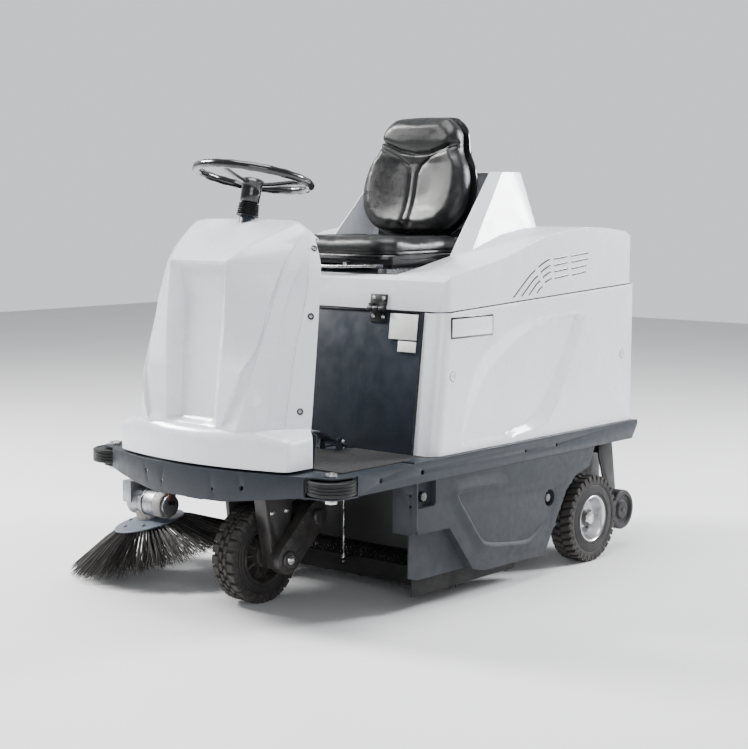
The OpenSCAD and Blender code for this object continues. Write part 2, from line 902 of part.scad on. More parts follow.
// Hood and seat

hood_side = body_x - 3;
hood_profile = [
    [-73, split_z(-73) + 1], [-62, 846], [-44, 860], [200, 905], [391, 960], [600, hood_top],
    [799, 963], [836, 946], [body_rear - 2, split_z(body_rear) + 1]
];
hump_base = [[-240, 165], [240, 165], [268, 215], [268, 600], [-268, 600], [-268, 215]];
hump_crown = [[-209, 398], [209, 398], [223, 440], [223, 530], [-223, 530], [-223, 440]];

// The hump behind the seat, tapering from its foot to its crown
module hump_solid(inset) {
    hull() {
        translate([0, 0, 878]) linear_extrude(1) offset(delta = -inset) polygon(hump_base);
        translate([0, 0, hump_top - 1 - inset]) linear_extrude(1) offset(delta = -inset) polygon(hump_crown);
    }
}

// The seat well, its walls leaning inwards and its rear wall leaning back
module well_solid(grow) {
    hull() {
        translate([-236 - grow, -130, seat_floor - grow]) cube([472 + 2 * grow, 516 + grow, 1]);
        translate([-196 - grow, -130, 1250]) cube([392 + 2 * grow, 582 + grow, 1]);
    }
}

module hood() {
    color(white) row() difference() {
        union() {
            side_prism(hood_profile, -hood_side, hood_side);
            hump_solid(0);
        }
        well_solid(0);
        difference() {
            union() {
                skirt_prism(-hood_side + skin, hood_side - skin) {
                    offset(delta = -skin) polygon(hood_profile);
                    polygon([[-60, 700], [body_rear - 8, 700], [body_rear - 8, 830], [-58, 800]]);
                }
                hump_solid(skin);
            }
            well_solid(skin);
        }
    }
}

module hinge_upper_leaves() {
    color(black) row() for (side = [-1, 1]) translate([side * hinge_x, 0, 0]) {
        translate([0, -73, hinge_z]) rotate([-8.3, 0, 0]) translate([-28, -4.5, 8]) cube([56, 4, 30]);
        for (x = [-28, 11]) {
            rod_x(hinge_y, hinge_z, hinge_knuckle_r, x, x + 17);
            translate([x + 1, hinge_y - 2, hinge_z + 3]) cube([15, 8, 11]);
        }
        rod_x(hinge_y, hinge_z, hinge_pin_r, -13, 13);
    }
}

module seat_rails() {
    color(steel) row() for (x = [-178, 148]) translate([x, -20, seat_floor]) cube([30, 330, rail_h]);
}

// Places children at the foot of the backrest, +Z up its lean
module at_backrest() {
    translate([0, back_y, back_z]) rotate([-back_lean, 0, 0]) children();
}

module seat_frame() {
    color(black) row() {
        for (x = [-178, 148]) {
            translate([x, 0, seat_floor + rail_h + gap]) cube([30, 290, pan_z - seat_floor - rail_h - gap]);
        }
        translate([-212, -36, pan_z]) cube([424, 366, pan_t]);
        side_prism([[316, pan_z], [334, pan_z], [356, back_z + 16], [338.5, back_z + 16]], -120, 120);
        at_backrest() translate([-150, 12, 8]) cube([300, 8, 250]);
    }
}

module seat_cushion() {
    color(black) row() hull() for (x = [-1, 1], y = [-30, 284]) {
        translate([x * (seat_w / 2 - 34), y, pan_z + pan_t + gap]) cylinder(h = 34, r = 30, $fn = 32);
        translate([x * (seat_w / 2 - 50), y, pan_z + pan_t + gap]) cylinder(h = y < 0 ? 54 : 42, r = 30, $fn = 32);
    }
}

back_half = [
    [0, 2], [84, 5], [130, 17], [163, 42], [186, 76], [194, 116], [194, 156], [185, 196], [172, 221], [158, 243],
    [152, 260], [140, 308], [126, 330], [108, 345], [84, 355], [0, 356]
];

module seat_back() {
    color(black) row() at_backrest() translate([0, 11, 0]) rotate([90, 0, 0]) linear_extrude(back_t)
        polygon(concat(back_half, [for (i = [len(back_half) - 2:-1:1]) [-back_half[i][0], back_half[i][1]]]));
}

// Corner rollers and hopper

module roller() {
    translate([roller_x, roller_y, roller_z]) rotate_extrude($fn = 96) polygon([
        [roller_bolt_r + 0.05, 0], [roller_d / 2 - 4, 0], [roller_d / 2, 3], [roller_d / 2, roller_h - 3],
        [roller_d / 2 - 4, roller_h], [roller_bolt_r + 0.05, roller_h]
    ]);
}

module left_roller() {
    color(rubber) row() roller();
}

module right_roller() {
    color(rubber) row() mirror([1, 0, 0]) roller();
}

module hopper_bin() {
    arm = [[762, 300], [834, 300], [834, 328], [762, 328]];
    bracket = [[762, 328], [834, 328], [868, 120], [846, 96], [824, 120], [762, 296]];
    color(dark_grey) row() {
        difference() {
            translate([-hopper_half, hopper_front, 92]) cube([2 * hopper_half, hopper_rear - hopper_front, 238]);
            translate([-hopper_half + 4, hopper_front + 4, 96])
                cube([2 * hopper_half - 8, hopper_rear - hopper_front - 8, 300]);
            translate([-hopper_half + 4, hopper_front - 10, 150]) cube([2 * hopper_half - 8, 30, 300]);
        }
        both_sides() side_prism(arm, hopper_half, 355);
        both_sides() side_prism(bracket, 355, 360);
        both_sides() rod_x(hopper_wheel_y, hopper_wheel_z, 8, 360, 398);
        for (x = [-104, 92]) translate([x, hopper_rear, 232]) cube([12, 40, 16]);
        rod_x(hopper_rear + 40, 240, 8, -104, 104);
    }
}

module hopper_wheel() {
    translate([hopper_wheel_x, hopper_wheel_y, hopper_wheel_z]) difference() {
        rotate([0, 90, 0]) translate([0, 0, -hopper_wheel_w / 2]) cylinder(h = hopper_wheel_w, r = hopper_wheel_d / 2, $fn = 96);
        rod_x(0, 0, 8.05, -40, 40);
    }
}

module hopper_left_wheel() {
    color(rubber) row() hopper_wheel();
}

module hopper_right_wheel() {
    color(rubber) row() mirror([1, 0, 0]) hopper_wheel();
}

side_rails();
front_plate();
frame_crossbars();
roller_bolts();
deck_plate();
floor_mat();
slewing_bearing();
bulkhead_panel();
steering_cover();
dash_panel();
panel_screws();
column_tube();
column_boot();
steering_chain();
left_body_panel();
right_body_panel();
rear_body_panel();
hinge_lower_leaves();
left_skirt();
right_skirt();
skirt_knobs();
brush_housing();
side_flaps();
axle_stubs();
battery_pack();
fan_unit();
steering_wheel();
steering_shaft();
steer_sprocket();
fork();
chain_case();
drive_motor();
front_tyre();
front_rim();
front_axle();
left_tyre();
left_rim();
right_tyre();
right_rim();
side_brush_arm();
side_brush_motor();
side_brush_disc();
side_brush_bristles();
main_brush();
front_flap();
flap_cable();
flap_pedal();
drive_pedal();
key_switch();
hood();
hinge_upper_leaves();
seat_rails();
seat_frame();
seat_cushion();
seat_back();
left_roller();
right_roller();
hopper_bin();
hopper_left_wheel();
hopper_right_wheel();
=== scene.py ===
"""The ride-on sweeper's looks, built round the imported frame.

Shapes are written in machine millimetres (X to the driver's left, Y to the rear, Z up, floor at 0)
and to_row() moves them into the frame's metres.
"""
import bmesh
import bpy
import math
import random
from contextlib import contextmanager
from mathutils import Matrix, Vector


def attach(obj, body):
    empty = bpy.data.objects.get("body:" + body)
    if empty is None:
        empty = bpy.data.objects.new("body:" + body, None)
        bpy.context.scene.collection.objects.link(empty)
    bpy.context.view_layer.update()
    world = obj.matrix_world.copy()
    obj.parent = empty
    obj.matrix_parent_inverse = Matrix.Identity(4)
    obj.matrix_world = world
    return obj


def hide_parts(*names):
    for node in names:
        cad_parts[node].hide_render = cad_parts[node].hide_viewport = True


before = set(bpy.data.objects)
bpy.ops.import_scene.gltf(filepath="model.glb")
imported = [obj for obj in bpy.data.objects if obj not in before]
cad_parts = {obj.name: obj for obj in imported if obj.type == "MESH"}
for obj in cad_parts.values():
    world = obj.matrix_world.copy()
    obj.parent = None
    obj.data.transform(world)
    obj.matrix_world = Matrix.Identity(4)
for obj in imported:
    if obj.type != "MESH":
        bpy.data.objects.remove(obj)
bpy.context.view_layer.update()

MID = Vector((-117.0, 152.0, 0.0))


def to_row(p):
    return (Vector(p) - MID) / 1000.0


def tilted(origin, degrees):
    """A frame at origin that leans back about X."""
    return Matrix.Translation(origin) @ Matrix.Rotation(math.radians(degrees), 4, "X")


# ---------------------------------------------------------------- places, in machine millimetres
SIDES = (("left", False), ("right", True))
COLUMN = tilted((0, -500, 450), -13.2)
BULKHEAD = tilted((0, -70, 768), -7.01)
DASH = tilted((0, -445, 394), -8.73)
HOOD_FRONT = tilted((0, -73, 770), -8.3)
BACKREST = tilted((0, 322, 944), -12)
SIDE_BRUSH = (Matrix.Translation((-450, -312, 152)) @ Matrix.Rotation(math.radians(-127), 4, "Z")
              @ Matrix.Rotation(math.radians(13), 4, "Y"))
FRONT_WHEEL = (0, -343, 127)
REAR_WHEEL = (388, 638, 127)
HOPPER_WHEEL = (380, 846, 120)
DRIVE_MOTOR = (0, -234, 226)
BRUSH_MOTOR = (0, -318, 206)
CORNER_ROLLER = (391, -483, 0)
MAIN_BRUSH_Y, MAIN_BRUSH_Z = 75, 142
CABLE_X, CABLE_Y = 120, -128
BODY_SIDE = 418
HOOD_SIDE = 414
SKIRT_SIDE = 427.4


def place_object(name, data):
    obj = bpy.data.objects.new(name, data)
    bpy.context.scene.collection.objects.link(obj)
    return obj


# ---------------------------------------------------------------- camera
def make_camera():
    back = Vector((0.63926, -0.76102, 0.11043)).normalized()
    right = Vector((0.7657, 0.6432, 0.0)).normalized()
    up = back.cross(right)
    roll = math.radians(0.18)
    right, up = (right * math.cos(roll) + up * math.sin(roll), up * math.cos(roll) - right * math.sin(roll))
    data = bpy.data.cameras.new("camera")
    data.lens = 78.96
    data.sensor_width = 36.0
    data.sensor_fit = "HORIZONTAL"
    cam = place_object("camera", data)
    turn = Matrix((right, up, back)).transposed().to_4x4()
    cam.matrix_world = Matrix.Translation(to_row((2973.2, -3399.4, 1075.4))) @ turn
    bpy.context.scene.camera = cam


make_camera()


# ---------------------------------------------------------------- materials
def tint(rgb, k):
    return tuple(min(1.0, c * k) for c in rgb) + (1.0,)


def material(name, rgb, rough, metal=0.0, vary=(9.0, 0.10), grain=(900.0, 0.10), coat=0.0, dust=0.0,
             dust_rgb=(0.33, 0.29, 0.25), smear=0.07, waves=None, spots=None, shine=0.5):
    """A node material: slow colour variation, smeared roughness, fine grain, and dust towards the floor."""
    m = bpy.data.materials.new(name)
    m.use_nodes = True
    nt = m.node_tree
    new, link = nt.nodes.new, nt.links.new
    bsdf = nt.nodes["Principled BSDF"]
    bsdf.inputs["Metallic"].default_value = metal
    bsdf.inputs["Specular IOR Level"].default_value = shine
    bsdf.inputs["Coat Weight"].default_value = coat
    bsdf.inputs["Coat Roughness"].default_value = 0.12
    where = new("ShaderNodeTexCoord").outputs["Object"]

    def noise(scale, detail=4.0):
        n = new("ShaderNodeTexNoise")
        n.inputs["Scale"].default_value = scale
        n.inputs["Detail"].default_value = detail
        link(where, n.inputs["Vector"])
        return n.outputs["Fac"]

    def span(value, lo, hi, out_lo, out_hi):
        n = new("ShaderNodeMapRange")
        for i, v in ((1, lo), (2, hi), (3, out_lo), (4, out_hi)):
            n.inputs[i].default_value = v
        link(value, n.inputs[0])
        return n.outputs[0]

    def mix(factor, a, b):
        n = new("ShaderNodeMix")
        n.data_type = "RGBA"
        link(factor, n.inputs["Factor"])
        for socket, value in ((n.inputs[6], a), (n.inputs[7], b)):
            if isinstance(value, tuple):
                socket.default_value = value
            else:
                link(value, socket)
        return n.outputs[2]

    colour = mix(span(noise(vary[0]), 0.3, 0.7, 0.0, 1.0), tint(rgb, 1 - vary[1]), tint(rgb, 1 + vary[1]))
    if spots:
        scale, amount, spot_rgb = spots
        colour = mix(span(noise(scale, 2.0), 0.62, 0.7, 0.0, amount), colour, spot_rgb + (1.0,))
    rough_out = span(noise(vary[0] * 3.1), 0.3, 0.7, max(0.02, rough - smear), min(1.0, rough + smear))
    if dust:
        xyz = new("ShaderNodeSeparateXYZ")
        link(where, xyz.inputs[0])
        low = span(xyz.outputs[2], 0.0, 0.42, dust, 0.0)
        patch = span(noise(26.0, 6.0), 0.35, 0.7, 0.25, 1.0)
        n = new("ShaderNodeMath")
        n.operation = "MULTIPLY"
        link(low, n.inputs[0])
        link(patch, n.inputs[1])
        colour = mix(n.outputs[0], colour, dust_rgb + (1.0,))
    link(colour, bsdf.inputs["Base Color"])
    link(rough_out, bsdf.inputs["Roughness"])
    bump = new("ShaderNodeBump")
    bump.inputs["Strength"].default_value = grain[1]
    bump.inputs["Distance"].default_value = 0.001
    link(noise(grain[0], 3.0), bump.inputs["Height"])
    if waves:
        w = new("ShaderNodeTexWave")
        w.bands_direction = waves[0]
        w.inputs["Scale"].default_value = waves[1]
        link(where, w.inputs["Vector"])
        second = new("ShaderNodeBump")
        second.inputs["Strength"].default_value = waves[2]
        second.inputs["Distance"].default_value = 0.001
        link(w.outputs["Fac"], second.inputs["Height"])
        link(bump.outputs[0], second.inputs["Normal"])
        bump = second
    link(bump.outputs[0], bsdf.inputs["Normal"])
    return m


MAT = {
    "white": material("white_moulding", (0.76, 0.79, 0.84), 0.26, vary=(5.0, 0.03), grain=(1400.0, 0.04),
                      coat=0.5, dust=0.05, spots=(210.0, 0.08, (0.6, 0.58, 0.55))),
    "grey": material("frame_paint", (0.024, 0.029, 0.037), 0.42, vary=(12.0, 0.12), grain=(620.0, 0.32),
                     dust=0.06,
                     spots=(170.0, 0.25, (0.06, 0.06, 0.065)), shine=0.26),
    "skirt": material("skirt_plastic", (0.023, 0.028, 0.034), 0.50, vary=(16.0, 0.12), grain=(1050.0, 0.6),
                      dust=0.05,
                      spots=(260.0, 0.22, (0.05, 0.05, 0.052)), shine=0.24),
    "dark": material("dark_panel", (0.020, 0.026, 0.036), 0.38, vary=(9.0, 0.16), grain=(700.0, 0.18),
                     dust=0.04),
    "black": material("black_plastic", (0.008, 0.008, 0.009), 0.40, vary=(14.0, 0.25), grain=(1200.0, 0.30),
                      dust=0.02, shine=0.35),
    "gloss": material("black_gloss", (0.006, 0.006, 0.007), 0.2, vary=(14.0, 0.25), grain=(900.0, 0.05),
                      coat=0.5),
    "mat": material("mat_rubber", (0.014, 0.014, 0.015), 0.62, vary=(20.0, 0.2), grain=(800.0, 0.4),
                    dust=0.04,
                    waves=("X", 62.0, 0.8)),
    "rubber": material("roller_rubber", (0.009, 0.009, 0.010), 0.48, vary=(18.0, 0.25), grain=(800.0, 0.3),
                       dust=0.02, shine=0.35),
    "flap": material("flap_rubber", (0.009, 0.009, 0.009), 0.62, vary=(14.0, 0.3), grain=(500.0, 0.5),
                     dust=0.02, shine=0.25),
    "tyre": material("tyre_rubber", (0.016, 0.016, 0.017), 0.62, vary=(20.0, 0.25), grain=(700.0, 0.5),
                     dust=0.08, shine=0.3),
    "lug": material("tyre_lugs", (0.036, 0.034, 0.032), 0.74, vary=(24.0, 0.22), grain=(420.0, 0.7),
                    dust=0.10, shine=0.3,
                    spots=(90.0, 0.5, (0.03, 0.028, 0.026))),
    "silver": material("rim_silver", (0.62, 0.62, 0.63), 0.30, 1.0, vary=(9.0, 0.08), grain=(1100.0, 0.12),
                       dust=0.08),
    "rimblack": material("rim_black", (0.012, 0.012, 0.013), 0.35, vary=(14.0, 0.2), grain=(600.0, 0.3),
                         dust=0.18),
    "zinc": material("zinc_steel", (0.60, 0.60, 0.59), 0.30, 1.0, vary=(45.0, 0.06), grain=(900.0, 0.06),
                     dust=0.1,
                     smear=0.14),
    "galva": material("galvanised", (0.36, 0.38, 0.41), 0.40, 0.9, vary=(60.0, 0.22), grain=(520.0, 0.35),
                      dust=0.3,
                      spots=(75.0, 0.5, (0.22, 0.23, 0.25)), smear=0.14),
    "cast": material("cast_ring", (0.33, 0.32, 0.30), 0.6, 0.5, vary=(60.0, 0.2), grain=(420.0, 0.8),
                     dust=0.3),
    "disc": material("brush_disc", (0.075, 0.105, 0.145), 0.45, vary=(14.0, 0.14), grain=(500.0, 0.4),
                     dust=0.2,
                     spots=(110.0, 0.5, (0.30, 0.30, 0.30))),
    "bristle": material("bristle", (0.020, 0.018, 0.017), 0.45, vary=(70.0, 0.5), grain=(900.0, 0.3),
                        dust=0.10,
                        dust_rgb=(0.20, 0.19, 0.18), shine=0.3),
    # lighter grey copy of the bristle material: painted highlight on the black bristles
    "bristle_painted_highlight": material("bristle_painted_highlight", (0.11, 0.105, 0.10), 0.45, vary=(70.0, 0.4),
                             grain=(900.0, 0.3), dust=0.2),
    "vinyl": material("seat_vinyl", (0.0085, 0.0088, 0.0095), 0.36, vary=(22.0, 0.2), grain=(640.0, 0.34),
                      smear=0.08, shine=0.42),
    "label": material("blank_label", (0.70, 0.70, 0.68), 0.4, vary=(30.0, 0.05), grain=(900.0, 0.1)),
    "red": material("red_wire", (0.36, 0.03, 0.02), 0.45, vary=(60.0, 0.2), grain=(900.0, 0.2)),
}


# ---------------------------------------------------------------- mesh building
def axes_for(axis):
    axis = Vector(axis).normalized()
    side = Vector((0, 0, 1)) if abs(axis.z) < 0.9 else Vector((1, 0, 0))
    e1 = side.cross(axis).normalized()
    return e1, axis.cross(e1), axis


class Shape:
    """Vertices and faces in machine millimetres."""

    def __init__(self):
        self.v, self.f = [], []

    def add(self, verts, faces, place=None, flip_x=False):
        n = len(self.v)
        for p in verts:
            p = place @ Vector(p) if place else Vector(p)
            self.v.append(Vector((-p.x, p.y, p.z)) if flip_x else p)
        self.f += [[n + i for i in f] for f in faces]
        return self

    def grid(self, rows, wrap=False, place=None, flip_x=False):
        w = len(rows[0])
        faces = []
        for r in range(len(rows) - 1):
            for c in range(w if wrap else w - 1):
                d = (c + 1) % w
                faces.append((r * w + c, r * w + d, (r + 1) * w + d, (r + 1) * w + c))
        return self.add([p for row in rows for p in row], faces, place, flip_x)

    def loft(self, rows, place=None, flip_x=False):
        """A skin through closed rings, with both ends filled."""
        first, n = len(self.v), len(rows[0])
        last = first + (len(rows) - 1) * n
        self.grid(rows, True, place, flip_x)
        self.f += [[first + i for i in reversed(range(n))], [last + i for i in range(n)]]
        return self

    def lathe(self, profile, origin=(0, 0, 0), axis=(0, 0, 1), seg=64, place=None, flip_x=False, wave=None):
        """Turns (radius, height) points about an axis. The profile closes on itself."""
        e1, e2, e3 = axes_for(axis)
        rows = []
        for r, h in list(profile) + [profile[0]]:
            ring = []
            for i in range(seg):
                a = 2 * math.pi * i / seg
                rr = r + (wave(a, r, h) if wave else 0)
                ring.append(Vector(origin) + e3 * h + (e1 * math.cos(a) + e2 * math.sin(a)) * rr)
            rows.append(ring)
        return self.grid(rows, True, place, flip_x)

    def rod(self, start, end, r, r_end=None, seg=24, place=None, flip_x=False, edge=0.8):
        start, end = Vector(start), Vector(end)
        r_end = r if r_end is None else r_end
        h = (end - start).length
        prof = [(0, 0), (r - edge, 0), (r, edge), (r_end, h - edge), (r_end - edge, h), (0, h)]
        return self.lathe(prof, start, end - start, seg, place, flip_x)

    def tube(self, path, r, seg=10, closed=False, place=None, flip_x=False):
        path = [Vector(p) for p in path]
        n = len(path)
        rows, normal = [], None
        for i, p in enumerate(path):
            before = path[(i - 1) % n] if closed or i else p
            after = path[(i + 1) % n] if closed or i < n - 1 else p
            t = (after - before).normalized()
            if normal is None:
                normal = axes_for(t)[0]
            normal = (normal - t * normal.dot(t)).normalized()
            other = t.cross(normal)
            rr = r[i] if isinstance(r, (list, tuple)) else r
            turns = [2 * math.pi * k / seg for k in range(seg)]
            rows.append([p + (normal * math.cos(a) + other * math.sin(a)) * rr for a in turns])
        if closed:
            return self.grid(rows + rows[:1], True, place, flip_x)
        return self.loft(rows, place, flip_x)

    def prism(self, outline, low, high, plane="yz", place=None, flip_x=False):
        """A closed prism: outline in a plane, running from low to high across it."""
        order = {"yz": lambda u, v, w: (w, u, v), "xz": lambda u, v, w: (u, w, v), "xy": lambda u, v,
                 w: (u, v, w)}
        put = order[plane]
        n = len(outline)
        verts = [put(u, v, low) for u, v in outline] + [put(u, v, high) for u, v in outline]
        faces = [tuple(range(n)), tuple(range(2 * n - 1, n - 1, -1))]
        faces += [(i, i + n, (i + 1) % n + n, (i + 1) % n) for i in range(n)]
        return self.add(verts, faces, place, flip_x)

    def block(self, low, high, place=None, flip_x=False):
        (x0, y0, z0), (x1, y1, z1) = low, high
        return self.prism([(y0, z0), (y1, z0), (y1, z1), (y0, z1)], x0, x1, "yz", place, flip_x)


@contextmanager
def editing(mesh):
    """Opens a mesh for editing and writes it back."""
    bm = bmesh.new()
    bm.from_mesh(mesh)
    yield bm
    bm.to_mesh(mesh)
    bm.free()


def mesh_of(shape, name):
    mesh = bpy.data.meshes.new(name)
    mesh.from_pydata([to_row(p) for p in shape.v], [], shape.f)
    return mesh


def finish_mesh(mesh, weld=0.02, sharp=32.0, bevel=0.0, segs=2, limit=30.0, shell=0.0, recalc=True):
    """Welds, rounds, thickens and shades a mesh, and returns its object."""
    with editing(mesh) as bm:
        bmesh.ops.remove_doubles(bm, verts=bm.verts, dist=weld / 1000)
        bmesh.ops.dissolve_degenerate(bm, dist=1e-6, edges=bm.edges)
        if recalc:
            bmesh.ops.recalc_face_normals(bm, faces=bm.faces)
    obj = place_object(mesh.name, mesh)
    if bevel:
        mod = obj.modifiers.new("edges", "BEVEL")
        mod.width = bevel / 1000
        mod.segments = segs
        mod.limit_method = "ANGLE"
        mod.angle_limit = math.radians(limit)
        mod.use_clamp_overlap = True
    if shell:
        mod = obj.modifiers.new("shell", "SOLIDIFY")
        mod.thickness = abs(shell) / 1000
        mod.offset = -1 if shell > 0 else 1
    if obj.modifiers:
        bake_modifiers(obj)
    obj.data.shade_smooth()
    obj.data.set_sharp_from_angle(angle=math.radians(sharp))
    return obj


def bake_modifiers(obj):
    deps = bpy.context.evaluated_depsgraph_get()
    mesh = bpy.data.meshes.new_from_object(obj.evaluated_get(deps))
    obj.modifiers.clear()
    old = obj.data
    obj.data = mesh
    mesh.name = old.name
    bpy.data.meshes.remove(old)


def dress(obj, body, mat, replaces=()):
    obj.data.materials.clear()
    obj.data.materials.append(MAT[mat])
    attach(obj, body)
    if replaces:
        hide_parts(*([replaces] if isinstance(replaces, str) else replaces))
    return obj


def piece(shape, name, body, mat, replaces=(), **how):
    return dress(finish_mesh(mesh_of(shape, name), **how), body, mat, replaces)


def refine(node, body, mat, bevel=1.0, segs=2, sharp=32.0):
    """A CAD node's own shape with its flat faces merged and its edges rounded."""
    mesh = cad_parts[node].data.copy()
    mesh.name = node + "_fine"
    with editing(mesh) as bm:
        bmesh.ops.remove_doubles(bm, verts=bm.verts, dist=1e-5)
        bmesh.ops.dissolve_limit(bm, angle_limit=math.radians(0.6), verts=bm.verts, edges=bm.edges)
    if "custom_normal" in mesh.attributes:
        mesh.attributes.remove(mesh.attributes["custom_normal"])
    return dress(finish_mesh(mesh, bevel=bevel, segs=segs, sharp=sharp, recalc=False), body, mat, node)


def curve(points, step=6.0, closed=False):
    """Catmull-Rom through points, resampled about every step."""
    pts = [Vector(p) for p in points]
    n = len(pts)
    out = []
    for i in range(n if closed else n - 1):
        p1, p2 = pts[i], pts[(i + 1) % n]
        p0 = pts[i - 1] if closed or i else p1 * 2 - p2
        p3 = pts[(i + 2) % n] if closed or i + 2 < n else p2 * 2 - p1
        k = max(1, int((p2 - p1).length / step + 0.5))
        for s in range(k):
            t = s / k
            out.append(0.5 * ((2 * p1) + (p2 - p0) * t + (2 * p0 - 5 * p1 + 4 * p2 - p3) * t * t
                              + (3 * p1 - p0 - 3 * p2 + p3) * t ** 3))
    if not closed:
        out.append(pts[-1])
    return out


def at(table, z):
    """Linear lookup of tuples keyed by their first value."""
    if z <= table[0][0]:
        return table[0][1:]
    for a, b in zip(table, table[1:]):
        if z <= b[0]:
            t = (z - a[0]) / (b[0] - a[0])
            return tuple(p + (q - p) * t for p, q in zip(a[1:], b[1:]))
    return table[-1][1:]


def ring_about(points, mid, grow):
    """The points moved away from mid by grow millimetres, or towards it if that is negative."""
    out = []
    for p in points:
        d = p - mid
        out.append(mid + d * max(0.0, 1 + grow / d.length))
    return out


def ease(t):
    t = max(0.0, min(1.0, t))
    return t * t * (3 - 2 * t)


def inside(poly, y, z):
    hit = False
    for (a, b), (c, d) in zip(poly, poly[1:] + poly[:1]):
        if (b > z) != (d > z) and y < (c - a) * (z - b) / (d - b) + a:
            hit = not hit
    return hit


def edge_distance(poly, y, z, closed=True):
    best = 1e9
    pairs = zip(poly, poly[1:] + poly[:1]) if closed else zip(poly, poly[1:])
    for (a, b), (c, d) in pairs:
        l2 = (c - a) ** 2 + (d - b) ** 2
        t = max(0.0, min(1.0, ((y - a) * (c - a) + (z - b) * (d - b)) / l2)) if l2 else 0.0
        best = min(best, math.hypot(y - a - t * (c - a), z - b - t * (d - b)))
    return best


# ---------------------------------------------------------------- steering cover
# Lines of the upper cover's half on the driver's left: (z, x, y), or the one value beside z that varies
FRONT = [(485, -575.5), (640, -565), (780, -554), (905, -545)]
FLOOR = [(485, 56, -553), (650, 62, -539), (816, 70, -525), (880, 80, -529), (905, 84, -532)]
RIM = [(485, 90), (609, 97), (736, 104), (821, 102), (905, 98)]
CREASE = [(485, 102, -576), (507, 107, -574), (569, 133, -569), (640, 166, -564), (690, 189, -535),
          (744, 194, -514), (805, 198, -496), (905, 206, -453)]
CHANNEL = [(485, 150, -575), (504, 161, -574), (539, 176, -571), (615, 193, -558), (698, 198, -527),
           (797, 204, -489), (905, 210, -444)]
RIDGE = [(485, 209, -561), (515, 208, -556), (614, 206, -536), (697, 211, -504), (780, 212, -480),
         (842, 211, -461), (905, 212, -446)]
POCKET_IN = [(485, 222, -533), (613, 219, -513), (696, 220, -489), (779, 218, -468), (850, 221, -440),
             (905, 229, -407)]
POCKET_OUT = [(485, 245, -492), (611, 245, -466), (695, 244, -446), (795, 245, -416), (862, 242, -397),
              (905, 239, -395)]
REAR = [(485, 281, -436), (525, 276, -425), (735, 267, -394), (891, 252, -364), (905, 250, -363)]
FOLD = 172          # where the fold that starts at the recess rim meets the crest
RIM_COLUMN = 4      # the section point on the recess rim
CREST = [(0, -370, 1005), (98, -371, 1005), (150, -373, 1004), (172, -374, 1001), (190, -374, 994),
         (203, -371, 984),
         (212, -364, 973), (220, -352, 960)]


def cover_section(z):
    """The half section at height z, from the centre out: recess, front, channel, flank pocket, rear edge."""
    front = at(FRONT, z)[0]
    fx, fy = at(FLOOR, z)
    rim = at(RIM, z)[0]
    crease, channel, ridge = Vector(at(CREASE, z)), Vector(at(CHANNEL, z)), Vector(at(RIDGE, z))
    p_in, p_out, rear = Vector(at(POCKET_IN, z)), Vector(at(POCKET_OUT, z)), Vector(at(REAR, z))
    open_low = ease((z - 490) / 30)
    deep = 7.0 * open_low * ease((905 - z) / 14)
    along = (channel - crease).normalized()
    inward = Vector((-along.y, along.x))
    if inward.dot(Vector((-1, 1))) < 0:
        inward = -inward
    flank = (p_out - p_in).normalized()
    flank_in = Vector((-flank.y, flank.x))
    if flank_in.x > 0:
        flank_in = -flank_in
    pocket = 7.0 * ease((z - 492) / 26) * ease((890 - z) / 10)
    sink = ease((z - 488) / 28) * ease((903 - z) / 5)
    fy = front + (fy - front) * sink
    pts = [(0, fy), (fx * 0.5, fy), (fx, fy), (rim - 3, fy + (front - fy) * 0.86), (rim, front)]
    pts += [((rim * 2 + crease.x) / 3, front + (crease.y - front) * 0.22), tuple(crease)]
    pts += [tuple(crease + along * 2.6 + inward * deep), tuple(channel - along * 3.4 + inward * deep),
            tuple(channel)]
    pts += [tuple((channel + ridge) / 2), tuple(ridge), tuple(p_in)]
    pts += [tuple(p_in + flank * 2 + flank_in * pocket), tuple((p_in + p_out) / 2 + flank_in * pocket),
            tuple(p_out - flank * 2 + flank_in * pocket), tuple(p_out), tuple((p_out + rear) / 2),
            tuple(rear)]
    return pts


